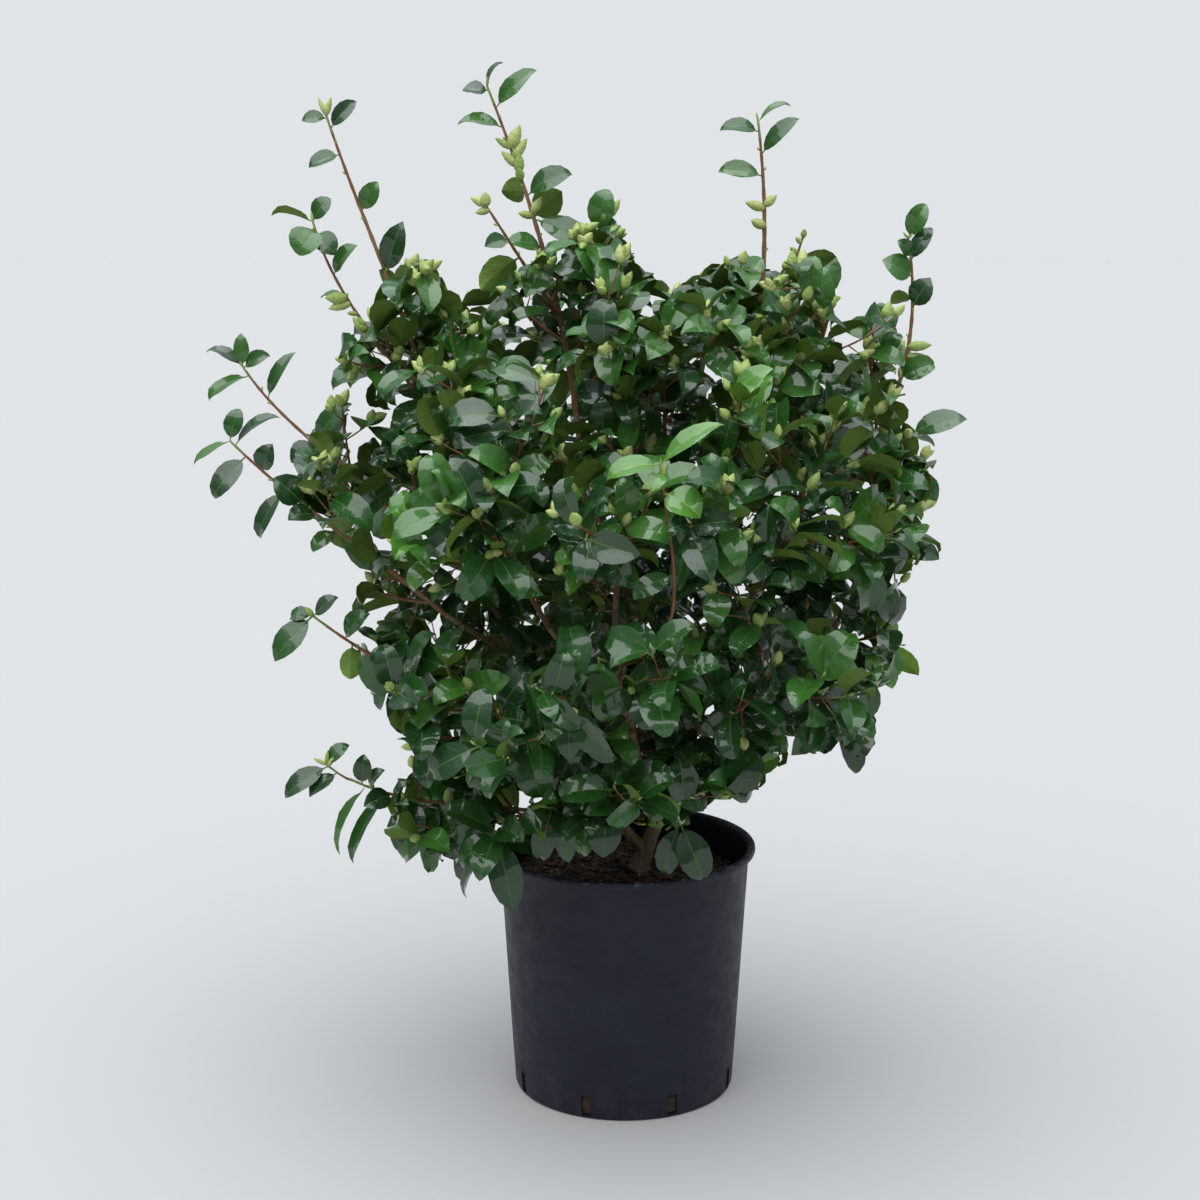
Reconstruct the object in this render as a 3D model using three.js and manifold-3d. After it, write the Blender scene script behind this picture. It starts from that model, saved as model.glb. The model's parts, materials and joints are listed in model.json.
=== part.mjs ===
// A potted camellia shrub: a black nursery pot filled with compost, a short trunk that forks low
// into upright stems, boughs that leave those stems, and masses of foliage at the boughs' ends.
//
// Millimetres, +Z up. The origin is the middle of the pot's flat underside, and -Y is the front.
// Every limb is one cubic curve with a taper. Each mass grows from one stem by a seeded rule, and
// keeps to the part of the crown that is nearer to its own stem than to any other mass's.

import * as THREE from 'three';
import { mergeVertices } from 'three/addons/utils/BufferGeometryUtils.js';
import Module from 'manifold-3d';

const wasm = await Module();
wasm.setup();

// Driving dimensions of the pot, a 35 litre size
const POT_HEIGHT = 382;
const POT_RIM_RADIUS = 200;
const POT_TOP_RADIUS = 185; // outside of the wall, just under the rim
const POT_FOOT_RADIUS = 168; // outside of the wall, at the foot
const POT_WALL = 3;
const RIM_DEPTH = 11;
const RIM_ROUND = 4;
const FOOT_ROUND = 6;
const POT_FACETS = 32;
const SLOT_COUNT = 8;
const SLOT_WIDTH = 15;
const SLOT_HEIGHT = 34;
const SLOT_DEPTH = 18; // across the wall, half of it inside and half outside
const SLOT_FIRST_DEGREES = 25; // from the front, towards +X

// Driving dimensions of the compost and of the gap that neighbouring solids keep
const SOIL_LEVEL = 337;
const SOIL_SETTLED = 6; // how much lower the compost lies at the pot's wall
const SOIL_LEVEL_RADIUS = 111; // the compost is level this far out
const SOIL_FOOT = 12; // how far the compost's lower edge is cut back, inwards
const SOIL_FOOT_RISE = 18; // and upwards
const CLEARANCE = 0.3;

// Driving dimensions of the shrub
const TRUNK_FOOT_RADIUS = 11;
const TRUNK_TIP_RADIUS = 5.2;
const ROOT_FLARE = 7; // added to the trunk's radius at the ground
const FLARE_SHARPNESS = 9; // how fast the flare fades up the trunk
const BOUGH_RADII = [5.6, 3.8];
const SHOOT_RADIUS = 2.8; // of the shoots that leave a mass's stem
const SHOOT_TIP_RADIUS = 1.6;
const TWIG_SHARE = 0.62; // of its shoot's radius, at a side twig's root
const TWIG_TAPER = 0.8;
const TWIG_GAP = 42; // between side twigs along a shoot
const LEAF_GAP = 52; // between leaves along a twig
const LEAF_LENGTH = 130;
const LEAF_WIDTH = 76;
const LEAF_DEPTH = 6; // how far a leaf's edges hang below its rib, which is its thickness there
const LEAF_ARCH = 9; // how far the rib's middle stands over the line from root to tip
const LEAF_WIDEST = 0.48; // the widest place, as a share of the length
const BUD_LENGTH = 32;
const BUD_WIDTH = 20;
const BUD_SUNK = 1; // how deep a bud's root sits in its twig
const BUD_SHARE = 0.3; // of the twigs that end in a bud
const SPACE_MARGIN = 2.6; // a mass stays this far inside its own space
const LIMB_MARGIN = 4.5; // foliage stays this far from the limbs
const POT_MARGIN = 4; // and this far from the rim
const WALL_MARGIN = 12; // from the inside of the wall
const SOIL_MARGIN = 8; // and from the compost

// How the shrub grows. Angles are in degrees and shares are of the rod's own length, apart from
// those that say otherwise.
const BOUGH_LIFT = 0.45; // how far a bough leans to its parent's heading as it leaves
const SHOOT_LIFT = 0.35; // how far a shoot turns up at its tip
const TWIG_LIFT = 0.18;
const TWIG_SPREAD = [48, 70]; // between a side twig and its shoot
const TWIG_LENGTH = [0.5, 0.82]; // as a share of its mass's reach
const TWIG_CUTS = [1, 0.8, 0.62, 0.46]; // lengths that a side twig tries
const TWIG_ROOT_SHARE = 0.12; // that may lie against its shoot
const FURTHER_BUSHY = 0.35; // share of a further shoot that bears side twigs
const SHOOT_LEAFY_FROM = 0.25; // where the leaves begin on a shoot
const TWIG_LEAFY_FROM = 0.35; // and on a side twig
const TUFT_AT = [0.88, 0.97]; // places of the leaves at a rod's tip
const LEAF_SPREAD = 58; // between a leaf and its twig
const LEAF_SPREAD_TRIES = [0, 16, -16];
const LEAF_LEAN = [-0.2, 0.2]; // turn about the twig, in radians
const LEAF_SIZES = [0.88, 1.12];
const LEAF_CUTS = [1, 0.85, 0.7]; // sizes that a leaf tries
const LEAF_ROOT_SHARE = 0.14; // that may cross its twig
const LEAF_DROOP = 0.25;
const FACE_OUT = 1.8; // a leaf's upper face turns away from the crown's heart
const FACE_UP = 0.6;
const FACE_ALONG = 0.4; // and towards its twig's tip
const LEAF_TEST_SHARES = [0.16, 0.3, LEAF_WIDEST, 0.64, 0.82, 1];
const LEAF_TEST_SIDES = [-1, -0.5, 0, 0.5, 1];

// Sides and steps of the rods that stand for limbs and twigs
const TRUNK_ROD = { sides: 8, steps: 9 };
const STEM_ROD = { sides: 6, steps: 4 };
const BOUGH_ROD = { sides: 5, steps: 3 };
const SHOOT_ROD = { sides: 4, steps: 4 };
const FURTHER_SHOOT_ROD = { sides: 3, steps: 3 };
const TWIG_ROD = { sides: 3, steps: 1 };

const CHORDS = 24; // straight pieces that stand for a curve in distance tests
const MERGE_DISTANCE = 1e-4;
const LIMB_CLEARANCE = 1.5 * CLEARANCE; // the rods' flat sides stand closer than their radii
const GROUND_BOX = 100; // side of the box that cuts the trunk's foot flat

const UP = new THREE.Vector3(0, 0, 1);
const CROWN_HEART = new THREE.Vector3(0, 0, 760); // leaves face away from this point

// The trunk and the stems that fork from it. `at` is the share of the parent's curve where the
// stem leaves, `leave` its heading there, and `arrive` its heading at the end.
const TRUNK = {
  name: 'trunk',
  foot: [20, 0, SOIL_LEVEL + CLEARANCE],
  leave: [0.38, 0, 0.92],
  end: [165, 15, 1030],
  arrive: [0.05, 0, 1],
  radii: [TRUNK_FOOT_RADIUS, TRUNK_TIP_RADIUS],
};
const STEMS = [
  { name: 'stem_left', parent: 'trunk', at: 0.045, leave: [-0.62, -0.22, 0.75],
    end: [-262, -50, 985], arrive: [-0.22, 0, 0.97], radii: [8.5, 4.6] },
  { name: 'stem_centre', parent: 'trunk', at: 0.17, leave: [-0.5, 0.18, 0.85],
    end: [-72, 12, 1040], arrive: [-0.12, 0, 0.99], radii: [8, 4.8] },
  { name: 'stem_front', parent: 'trunk', at: 0.1, leave: [-0.1, -0.62, 0.78],
    end: [-14, -215, 815], arrive: [0.08, -0.5, 0.86], radii: [7.5, 4.4] },
  { name: 'stem_back', parent: 'trunk', at: 0.13, leave: [-0.05, 0.64, 0.76],
    end: [-10, 185, 845], arrive: [-0.06, 0.45, 0.89], radii: [7.5, 4.4] },
  { name: 'stem_right', parent: 'trunk', at: 0.3, leave: [0.78, 0.02, 0.62],
    end: [335, 5, 940], arrive: [0.12, 0, 0.99], radii: [7.5, 4.4] },
];

// The masses of foliage. `on` names the stem or trunk whose tip carries the mass; otherwise
// `bough` says which limb its own bough leaves, where, and where that bough ends. `reach` is the
// mass's half width, `bushy` the share of its stem that bears side twigs, and `shoots` are
// further long shoots that leave the stem.
const MASSES = [
  { name: 'top_left_leader', on: 'stem_left', tip: [-424, -50, 1448], reach: 135, bushy: 0.5,
    shoots: [{ at: 0.1, tip: [-442, -118, 1290] }] },
  { name: 'left_upper', bough: { from: 'stem_left', at: 0.72, end: [-275, -90, 870] },
    tip: [-552, -55, 1105], reach: 135, bushy: 0.7, shoots: [] },
  { name: 'left_middle', bough: { from: 'stem_left', at: 0.52, end: [-262, -125, 765] },
    tip: [-530, -150, 958], reach: 130, bushy: 0.75, shoots: [] },
  { name: 'left_lower', bough: { from: 'stem_left', at: 0.34, end: [-200, -110, 610] },
    tip: [-420, -185, 725], reach: 140, bushy: 0.85, shoots: [] },
  { name: 'skirt_left', bough: { from: 'stem_left', at: 0.13, end: [-100, -120, 462] },
    tip: [-395, -200, 540], reach: 130, bushy: 0.85,
    shoots: [{ at: 0.1, tip: [-185, -255, 478] }] },
  { name: 'skirt_front', bough: { from: 'stem_front', at: 0.16, end: [-18, -100, 470] },
    tip: [-48, -262, 560], reach: 145, bushy: 1, shoots: [] },
  { name: 'skirt_right', bough: { from: 'trunk', at: 0.2, end: [105, -85, 490] },
    tip: [150, -235, 575], reach: 140, bushy: 1, shoots: [] },
  { name: 'right_lower', bough: { from: 'stem_right', at: 0.26, end: [212, -30, 560] },
    tip: [335, -52, 650], reach: 145, bushy: 0.95, shoots: [] },
  { name: 'right_middle', bough: { from: 'stem_right', at: 0.46, end: [280, -45, 680] },
    tip: [350, -60, 815], reach: 145, bushy: 0.95, shoots: [] },
  { name: 'right_upper', bough: { from: 'stem_right', at: 0.76, end: [335, -60, 830] },
    tip: [388, -58, 995], reach: 135, bushy: 0.9, shoots: [] },
  { name: 'right_leader', on: 'stem_right', tip: [416, 0, 1306], reach: 120, bushy: 0.5,
    shoots: [] },
  { name: 'right_centre_leader', on: 'trunk', tip: [199, 0, 1452], reach: 135, bushy: 0.45,
    shoots: [{ at: 0.12, tip: [250, -12, 1245] }, { at: 0.06, tip: [138, -42, 1210] }] },
  { name: 'top_right', bough: { from: 'trunk', at: 0.78, end: [222, -68, 950] },
    tip: [292, -70, 1200], reach: 135, bushy: 0.95, shoots: [] },
  { name: 'top_centre_leader', on: 'stem_centre', tip: [-196, 0, 1505], reach: 135, bushy: 0.42,
    shoots: [{ at: 0.3, tip: [-206, -52, 1292] }, { at: 0.16, tip: [-36, -8, 1262] }] },
  { name: 'top_middle', bough: { from: 'trunk', at: 0.7, end: [60, -72, 900] },
    tip: [52, -128, 1150], reach: 150, bushy: 1, shoots: [] },
  { name: 'front_left_upper', bough: { from: 'stem_front', at: 0.6, end: [-110, -190, 760] },
    tip: [-215, -295, 985], reach: 165, bushy: 1, shoots: [] },
  { name: 'front_centre_upper', on: 'stem_front', tip: [28, -335, 975], reach: 160, bushy: 0.9,
    shoots: [] },
  { name: 'front_right_upper', bough: { from: 'trunk', at: 0.5, end: [175, -140, 780] },
    tip: [250, -275, 975], reach: 160, bushy: 1, shoots: [] },
  { name: 'front_left_lower', bough: { from: 'stem_front', at: 0.32, end: [-95, -160, 560] },
    tip: [-215, -300, 700], reach: 160, bushy: 1, shoots: [] },
  { name: 'front_centre_lower', bough: { from: 'stem_front', at: 0.44, end: [-2, -215, 615] },
    tip: [-10, -350, 745], reach: 150, bushy: 1, shoots: [] },
  { name: 'front_right_lower', bough: { from: 'trunk', at: 0.34, end: [145, -130, 600] },
    tip: [205, -300, 735], reach: 155, bushy: 1, shoots: [] },
  { name: 'back_top', bough: { from: 'stem_centre', at: 0.72, end: [10, 105, 905] },
    tip: [22, 178, 1140], reach: 155, bushy: 1, shoots: [] },
  { name: 'back_centre_upper', on: 'stem_back', tip: [-32, 345, 1010], reach: 165, bushy: 0.95,
    shoots: [] },
  { name: 'back_left_upper', bough: { from: 'stem_back', at: 0.66, end: [-140, 155, 800] },
    tip: [-290, 250, 990], reach: 170, bushy: 0.95, shoots: [] },
  { name: 'back_right_upper', bough: { from: 'stem_back', at: 0.74, end: [140, 170, 815] },
    tip: [280, 250, 990], reach: 165, bushy: 0.95, shoots: [] },
  { name: 'back_centre_lower', bough: { from: 'stem_back', at: 0.36, end: [20, 175, 570] },
    tip: [28, 330, 670], reach: 160, bushy: 1, shoots: [] },
  { name: 'back_left_lower', bough: { from: 'stem_back', at: 0.26, end: [-120, 115, 545] },
    tip: [-310, 225, 640], reach: 165, bushy: 0.95, shoots: [] },
  { name: 'back_right_lower', bough: { from: 'stem_back', at: 0.31, end: [150, 120, 555] },
    tip: [295, 230, 650], reach: 160, bushy: 0.95, shoots: [] },
];

const COLOURS = {
  pot: { color: 0x1d2129, roughness: 0.5, metalness: 0 },
  compost: { color: 0x2b1d14, roughness: 1, metalness: 0 },
  bark: { color: 0x7a5a3c, roughness: 0.85, metalness: 0 },
  foliage: { color: 0x1f4a22, roughness: 0.35, metalness: 0 },
};

// Seeded random numbers from 0 to 1, by Lehmer's rule
function seeded(seed) {
  let state = seed * 7919 + 104729;
  const next = () => {
    state = (state * 16807) % 2147483647;
    return state / 2147483647;
  };
  next();
  return next;
}

const vec = (list) => new THREE.Vector3(...list);
const within = ([low, high], share) => low + (high - low) * share;

function heading(from, to) {
  return to.clone().sub(from).normalize();
}

// A cubic curve that leaves and arrives with the given headings
function limbCurve(from, leave, to, arrive) {
  const pull = from.distanceTo(to) / 3;
  return new THREE.CubicBezierCurve3(
    from,
    leave.clone().multiplyScalar(pull).add(from),
    arrive.clone().multiplyScalar(-pull).add(to),
    to,
  );
}

// The direction that points out from a rod at a place on it, turned by `turn` about the rod from
// its first edge
function spoke({ curve, phase = 0 }, at, turn) {
  const start = curve.getTangent(0);
  const level = Math.abs(start.z) < 0.9 ? UP : new THREE.Vector3(1, 0, 0);
  const along = curve.getTangent(at);
  const side = new THREE.Vector3().crossVectors(level, start);
  side.addScaledVector(along, -side.dot(along)).normalize();
  return side.applyAxisAngle(along, phase + turn);
}

// The turn at the middle of one of a rod's flat faces, where a twig or leaf leaves most cleanly
function faceTurn({ sides }, face) {
  return 2 * Math.PI * (face + 0.5) / sides;
}

// A point on a rod's solid, whose sides run straight between its steps
function placeOn({ curve, steps }, at) {
  const step = Math.min(Math.floor(at * steps), steps - 1);
  return curve.getPoint(step / steps).lerp(curve.getPoint((step + 1) / steps), at * steps - step);
}

// A closed mesh as a solid
function solid(geometry) {
  const bare = geometry.clone();
  bare.deleteAttribute('normal');
  bare.deleteAttribute('uv');
  const merged = mergeVertices(bare, MERGE_DISTANCE);
  return new wasm.Manifold(new wasm.Mesh({
    numProp: 3,
    vertProperties: new Float32Array(merged.attributes.position.array),
    triVerts: new Uint32Array(merged.index.array),
  }));
}

// A solid as a geometry
function geometryOf(made) {
  const mesh = made.getMesh();
  const corners = new Float32Array(mesh.numVert * 3);
  for (let i = 0; i < mesh.numVert; i++) {
    corners.set(mesh.vertProperties.subarray(i * mesh.numProp, i * mesh.numProp + 3), i * 3);
  }
  return new THREE.BufferGeometry()
    .setAttribute('position', new THREE.BufferAttribute(corners, 3))
    .setIndex(new THREE.BufferAttribute(mesh.triVerts, 1));
}

// A tapered rod along its curve, closed at both ends. `grow` is added to its radius, and `flare`
// at its foot.
function rodSolid(rod, grow = 0, flare = 0) {
  const { curve, radii, sides, steps } = rod;
  const points = [];
  for (let step = 0; step <= steps; step++) {
    const at = step / steps;
    const radius = within(radii, at) + grow + flare * (1 - at) ** FLARE_SHARPNESS;
    for (let k = 0; k < sides; k++) {
      const out = spoke(rod, at, 2 * Math.PI * k / sides);
      points.push(out.multiplyScalar(radius).add(curve.getPoint(at)));
    }
  }
  const faces = [];
  const last = steps * sides;
  for (let k = 0; k < sides; k++) {
    const next = (k + 1) % sides;
    for (let ring = 0; ring < last; ring += sides) {
      faces.push(ring + k, ring + next, ring + sides + next);
      faces.push(ring + k, ring + sides + next, ring + sides + k);
    }
    if (k > 1) faces.push(0, k, k - 1, last, last + k - 1, last + k);
  }
  return solid(new THREE.BufferGeometry().setFromPoints(points).setIndex(faces));
}

// The limbs are rods that know their parent and hold points along them for distance tests
const limbs = new Map();

function chordsOf(curve, from = 0) {
  return Array.from({ length: CHORDS + 1 }, (_, i) => curve.getPoint(from + (1 - from) * i / CHORDS));
}

function addLimb(name, parent, curve, radii, shape) {
  limbs.set(name, { name, parent, curve, radii, ...shape, chords: chordsOf(curve) });
}

function placeTrunkAndStems() {
  const trunk = limbCurve(vec(TRUNK.foot), vec(TRUNK.leave).normalize(),
    vec(TRUNK.end), vec(TRUNK.arrive).normalize());
  addLimb('trunk', null, trunk, TRUNK.radii, TRUNK_ROD);
  for (const stem of STEMS) {
    const from = limbs.get(stem.parent).curve.getPoint(stem.at);
    const curve = limbCurve(from, vec(stem.leave).normalize(), vec(stem.end), vec(stem.arrive).normalize());
    addLimb(stem.name, stem.parent, curve, stem.radii, STEM_ROD);
  }
}

// The heading of a limb as it leaves its parent: towards its end, leaning to the parent's heading
function leaving(parent, at, from, to) {
  return heading(from, to).addScaledVector(parent.curve.getTangent(at), BOUGH_LIFT).normalize();
}

function placeBough(mass) {
  const { from: parentName, at, end } = mass.bough;
  const parent = limbs.get(parentName);
  const from = parent.curve.getPoint(at);
  const to = vec(end);
  const curve = limbCurve(from, leaving(parent, at, from, to), to, heading(to, vec(mass.tip)));
  addLimb(`bough_${mass.name}`, parentName, curve, BOUGH_RADII, BOUGH_ROD);
}

// The long shoots of a mass: its stem, which starts just clear of its bough's tip, and the
// further shoots that leave the stem
function placeShoots(mass) {
  const carrier = limbs.get(mass.on ?? `bough_${mass.name}`);
  const arrive = carrier.curve.getTangent(1);
  const from = carrier.curve.getPoint(1).addScaledVector(arrive, CLEARANCE);
  const rising = (start, tip) => heading(start, tip).addScaledVector(UP, SHOOT_LIFT).normalize();
  const tip = vec(mass.tip);
  const stem = {
    curve: limbCurve(from, arrive, tip, rising(from, tip)),
    radii: [carrier.radii[1], SHOOT_TIP_RADIUS],
    ...SHOOT_ROD,
  };
  const further = mass.shoots.map(({ at, tip: end }) => {
    const start = placeOn(stem, at);
    const to = vec(end);
    return {
      curve: limbCurve(start, leaving(stem, at, start, to), to, rising(start, to)),
      radii: [SHOOT_RADIUS, SHOOT_TIP_RADIUS],
      ...FURTHER_SHOOT_ROD,
    };
  });
  return [stem, ...further];
}

// The distance from a point to a run of chords
const segment = new THREE.Line3();
const nearest = new THREE.Vector3();
function distanceTo(chords, point) {
  let least = Infinity;
  for (let i = 1; i < chords.length; i++) {
    segment.set(chords[i - 1], chords[i]).closestPointToPoint(point, true, nearest);
    least = Math.min(least, nearest.distanceTo(point));
  }
  return least;
}

// Whether a point is in or near the pot, its rim or the compost
function nearPot(point) {
  const radius = Math.hypot(point.x, point.y);
  const inWall = radius > POT_TOP_RADIUS - WALL_MARGIN && radius < POT_RIM_RADIUS + POT_MARGIN;
  return (inWall && point.z < POT_HEIGHT + POT_MARGIN)
    || (radius < POT_RIM_RADIUS && point.z < SOIL_LEVEL + SOIL_MARGIN);
}

function nearLimb(point, margin) {
  for (const { chords, radii } of limbs.values()) {
    if (distanceTo(chords, point) < Math.max(...radii) + margin) return true;
  }
  return false;
}

// Whether a point lies in a mass's own space: within its reach, nearer to its own shoots than to
// any other mass's, and clear of the pot and the limbs
function inSpace(mass, point, margin) {
  const own = Math.min(...mass.runs.map((run) => distanceTo(run, point)));
  if (own > mass.reach || nearPot(point) || nearLimb(point, margin)) return false;
  return MASSES.every((other) => other === mass
    || other.runs.every((run) => distanceTo(run, point) > own + 2 * SPACE_MARGIN));
}

// A straight side twig that leaves one face of a shoot. It takes the next face, or is made
// shorter, until it fits its mass's space.
function sideTwig(mass, shoot, at, face, random) {
  const from = placeOn(shoot, at);
  const along = shoot.curve.getTangent(at);
  const radius = TWIG_SHARE * within(shoot.radii, at);
  const spread = THREE.MathUtils.degToRad(within(TWIG_SPREAD, random()));
  const length = mass.reach * within(TWIG_LENGTH, random());
  const phase = 2 * Math.PI * random();
  for (const share of TWIG_CUTS) {
    for (let next = 0; next < shoot.sides; next++) {
      const out = spoke(shoot, at, faceTurn(shoot, face + next));
      const leave = along.clone().multiplyScalar(Math.cos(spread)).addScaledVector(out, Math.sin(spread))
        .addScaledVector(UP, TWIG_LIFT);
      const curve = new THREE.LineCurve3(from, leave.multiplyScalar(length * share).add(from));
      if (chordsOf(curve, TWIG_ROOT_SHARE).every((point) => inSpace(mass, point, LIMB_MARGIN))) {
        return { curve, radii: [radius, radius * TWIG_TAPER], phase, ...TWIG_ROD };
      }
    }
  }
  return null;
}

// The rods of a mass: its shoots, and the side twigs along the bushy share of each. `leafyFrom`
// is where on a rod its leaves begin.
function growRods(mass) {
  const random = seeded(mass.seed);
  const rods = mass.shootList.map((shoot) => ({ ...shoot, leafyFrom: SHOOT_LEAFY_FROM }));
  mass.shootList.forEach((shoot, index) => {
    const bushy = index === 0 ? mass.bushy : FURTHER_BUSHY;
    const count = Math.max(1, Math.round(shoot.curve.getLength() * bushy / TWIG_GAP));
    for (let k = 0; k < count; k++) {
      const twig = sideTwig(mass, shoot, bushy * (k + 0.5) / count, k, random);
      if (twig) rods.push({ ...twig, leafyFrom: TWIG_LEAFY_FROM });
    }
  });
  return rods;
}

// A leaf's frame: it points out from its twig, and its upper face turns up and outwards
function leafFrame(rod, at, turn, spread) {
  const base = placeOn(rod, at);
  const along = rod.curve.getTangent(at);
  const ahead = along.clone().multiplyScalar(Math.cos(spread))
    .addScaledVector(spoke(rod, at, turn), Math.sin(spread)).addScaledVector(UP, -LEAF_DROOP).normalize();
  const face = heading(CROWN_HEART, base).multiplyScalar(FACE_OUT).addScaledVector(UP, FACE_UP)
    .addScaledVector(along, FACE_ALONG);
  face.addScaledVector(ahead, -face.dot(ahead)).normalize();
  return { base, ahead, face, left: new THREE.Vector3().crossVectors(face, ahead) };
}

function leafPoint({ base, ahead, left, face }, forward, across, above) {
  return base.clone().addScaledVector(ahead, forward).addScaledVector(left, across)
    .addScaledVector(face, above);
}

// Points over a leaf, away from its root
function leafPoints(frame, size) {
  const points = [];
  for (const share of LEAF_TEST_SHARES) {
    const full = share < LEAF_WIDEST ? share / LEAF_WIDEST : (1 - share) / (1 - LEAF_WIDEST);
    for (const side of LEAF_TEST_SIDES) {
      points.push(leafPoint(frame, LEAF_LENGTH * size * share, LEAF_WIDTH / 2 * size * full * side,
        (LEAF_ARCH - LEAF_DEPTH * Math.abs(side)) * full * size));
    }
  }
  return points;
}

// A leaf: its rib arches from the root to the tip, and its two edges hang below it. `from` leaves
// out that share of it at the root.
function leafSolid(frame, size, from = 0) {
  const corner = (share, side, above) => leafPoint(frame, LEAF_LENGTH * size * share,
    LEAF_WIDTH / 2 * size * side, size * above);
  const root = corner(from, 0, LEAF_ARCH * from / LEAF_WIDEST);
  const rib = corner(LEAF_WIDEST, 0, LEAF_ARCH);
  const tip = corner(1, 0, 0);
  const left = corner(LEAF_WIDEST, 1, LEAF_ARCH - LEAF_DEPTH);
  const right = corner(LEAF_WIDEST, -1, LEAF_ARCH - LEAF_DEPTH);
  const faces = [
    [root, rib, left], [rib, tip, left], [root, right, rib], [rib, right, tip],
    [root, left, right], [tip, right, left],
  ];
  return solid(new THREE.BufferGeometry().setFromPoints(faces.flat()));
}

// Fuses a leaf to its rod. It takes the next face, leans in or out, or is made smaller, until it
// lies in its mass's space and crosses nothing that the mass already has.
function fuseLeaf(mass, rod, at, face, lean, size) {
  for (const share of LEAF_CUTS) {
    for (const leanBy of LEAF_SPREAD_TRIES) {
      for (let next = 0; next < rod.sides; next++) {
        const spread = THREE.MathUtils.degToRad(LEAF_SPREAD + leanBy);
        const frame = leafFrame(rod, at, faceTurn(rod, face + next) + lean, spread);
        const fits = leafPoints(frame, size * share).every((point) => inSpace(mass, point, LIMB_MARGIN));
        if (fits && mass.whole.intersect(leafSolid(frame, size * share, LEAF_ROOT_SHARE)).isEmpty()) {
          mass.whole = mass.whole.add(leafSolid(frame, size * share));
          return;
        }
      }
    }
  }
}

// Fuses a flower bud, a drawn-out octahedron, to the tip of a rod
function fuseBud(mass, rod) {
  const ahead = rod.curve.getTangent(1);
  const end = rod.curve.getPoint(1).addScaledVector(ahead, BUD_LENGTH);
  if (!inSpace(mass, end, LIMB_MARGIN)) return;
  const middle = end.addScaledVector(ahead, -BUD_LENGTH / 2);
  mass.whole = mass.whole.add(solid(new THREE.OctahedronGeometry(1)
    .scale(BUD_WIDTH / 2, BUD_WIDTH / 2, BUD_LENGTH / 2 + BUD_SUNK)
    .applyQuaternion(new THREE.Quaternion().setFromUnitVectors(UP, ahead))
    .translate(middle.x, middle.y, middle.z)));
}

// Leaves along a rod and in a tuft at its tip, each from the next face, and at times a bud
function dressRod(mass, rod, index) {
  const random = seeded(mass.seed * 100 + index);
  const leafy = TUFT_AT[0] - rod.leafyFrom;
  const count = Math.max(1, Math.round(rod.curve.getLength() * leafy / LEAF_GAP));
  const places = Array.from({ length: count }, (_, k) => rod.leafyFrom + leafy * k / count);
  const first = Math.floor(rod.sides * random());
  [...places, ...TUFT_AT].forEach((at, k) => {
    fuseLeaf(mass, rod, at, first + k, within(LEAF_LEAN, random()), within(LEAF_SIZES, random()));
  });
  if (random() < BUD_SHARE) fuseBud(mass, rod);
}

// A mass: its rods joined to each other, and then its leaves and buds joined on one by one
function growMass(mass) {
  const rods = growRods(mass);
  mass.whole = rods.map((rod) => rodSolid(rod)).reduce((whole, rod) => whole.add(rod));
  rods.forEach((rod, index) => dressRod(mass, rod, index));
  return largestBody(mass.whole);
}

function largestBody(whole) {
  return whole.decompose().sort((a, b) => b.volume() - a.volume())[0];
}

function mesh(name, geometry, look) {
  const made = new THREE.Mesh(geometry, new THREE.MeshStandardMaterial(COLOURS[look]));
  made.name = name;
  return made;
}

// The pot: a turned shell with a rolled rim, cut by the drainage slots at its foot
function potGeometry() {
  const wallTop = POT_HEIGHT - RIM_DEPTH;
  const inside = POT_TOP_RADIUS - POT_WALL;
  const profile = [
    [0, 0], [POT_FOOT_RADIUS - FOOT_ROUND, 0], [POT_FOOT_RADIUS, FOOT_ROUND],
    [POT_TOP_RADIUS, wallTop], [POT_RIM_RADIUS, wallTop + RIM_ROUND / 2],
    [POT_RIM_RADIUS, POT_HEIGHT - RIM_ROUND], [POT_RIM_RADIUS - RIM_ROUND, POT_HEIGHT],
    [inside + RIM_ROUND, POT_HEIGHT], [inside, POT_HEIGHT - RIM_ROUND],
    [POT_FOOT_RADIUS - POT_WALL, FOOT_ROUND], [POT_FOOT_RADIUS - FOOT_ROUND, POT_WALL],
    [0, POT_WALL],
  ].map(([radius, height]) => new THREE.Vector2(radius, height));
  let pot = solid(new THREE.LatheGeometry(profile, POT_FACETS).rotateX(Math.PI / 2));
  for (let i = 0; i < SLOT_COUNT; i++) {
    const turn = THREE.MathUtils.degToRad(SLOT_FIRST_DEGREES - 90 + 360 * i / SLOT_COUNT);
    const slot = new THREE.BoxGeometry(SLOT_DEPTH, SLOT_WIDTH, SLOT_HEIGHT)
      .translate(POT_FOOT_RADIUS, 0, SLOT_HEIGHT / 2 + POT_WALL)
      .rotateZ(turn);
    pot = pot.subtract(solid(slot));
  }
  return geometryOf(pot);
}

// The compost fills the pot, level in the middle and settled at the wall
function compostGeometry() {
  const wallTop = POT_HEIGHT - RIM_DEPTH;
  const wallAt = (height) => THREE.MathUtils.mapLinear(height, FOOT_ROUND, wallTop,
    POT_FOOT_RADIUS, POT_TOP_RADIUS) - POT_WALL - 2 * CLEARANCE;
  const low = POT_WALL + CLEARANCE;
  const edge = SOIL_LEVEL - SOIL_SETTLED;
  const profile = [
    [0, low], [POT_FOOT_RADIUS - SOIL_FOOT, low], [wallAt(SOIL_FOOT_RISE), SOIL_FOOT_RISE],
    [wallAt(edge), edge], [SOIL_LEVEL_RADIUS, SOIL_LEVEL], [0, SOIL_LEVEL],
  ].map(([radius, height]) => new THREE.Vector2(radius, height));
  return new THREE.LatheGeometry(profile, POT_FACETS).rotateX(Math.PI / 2);
}

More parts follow.
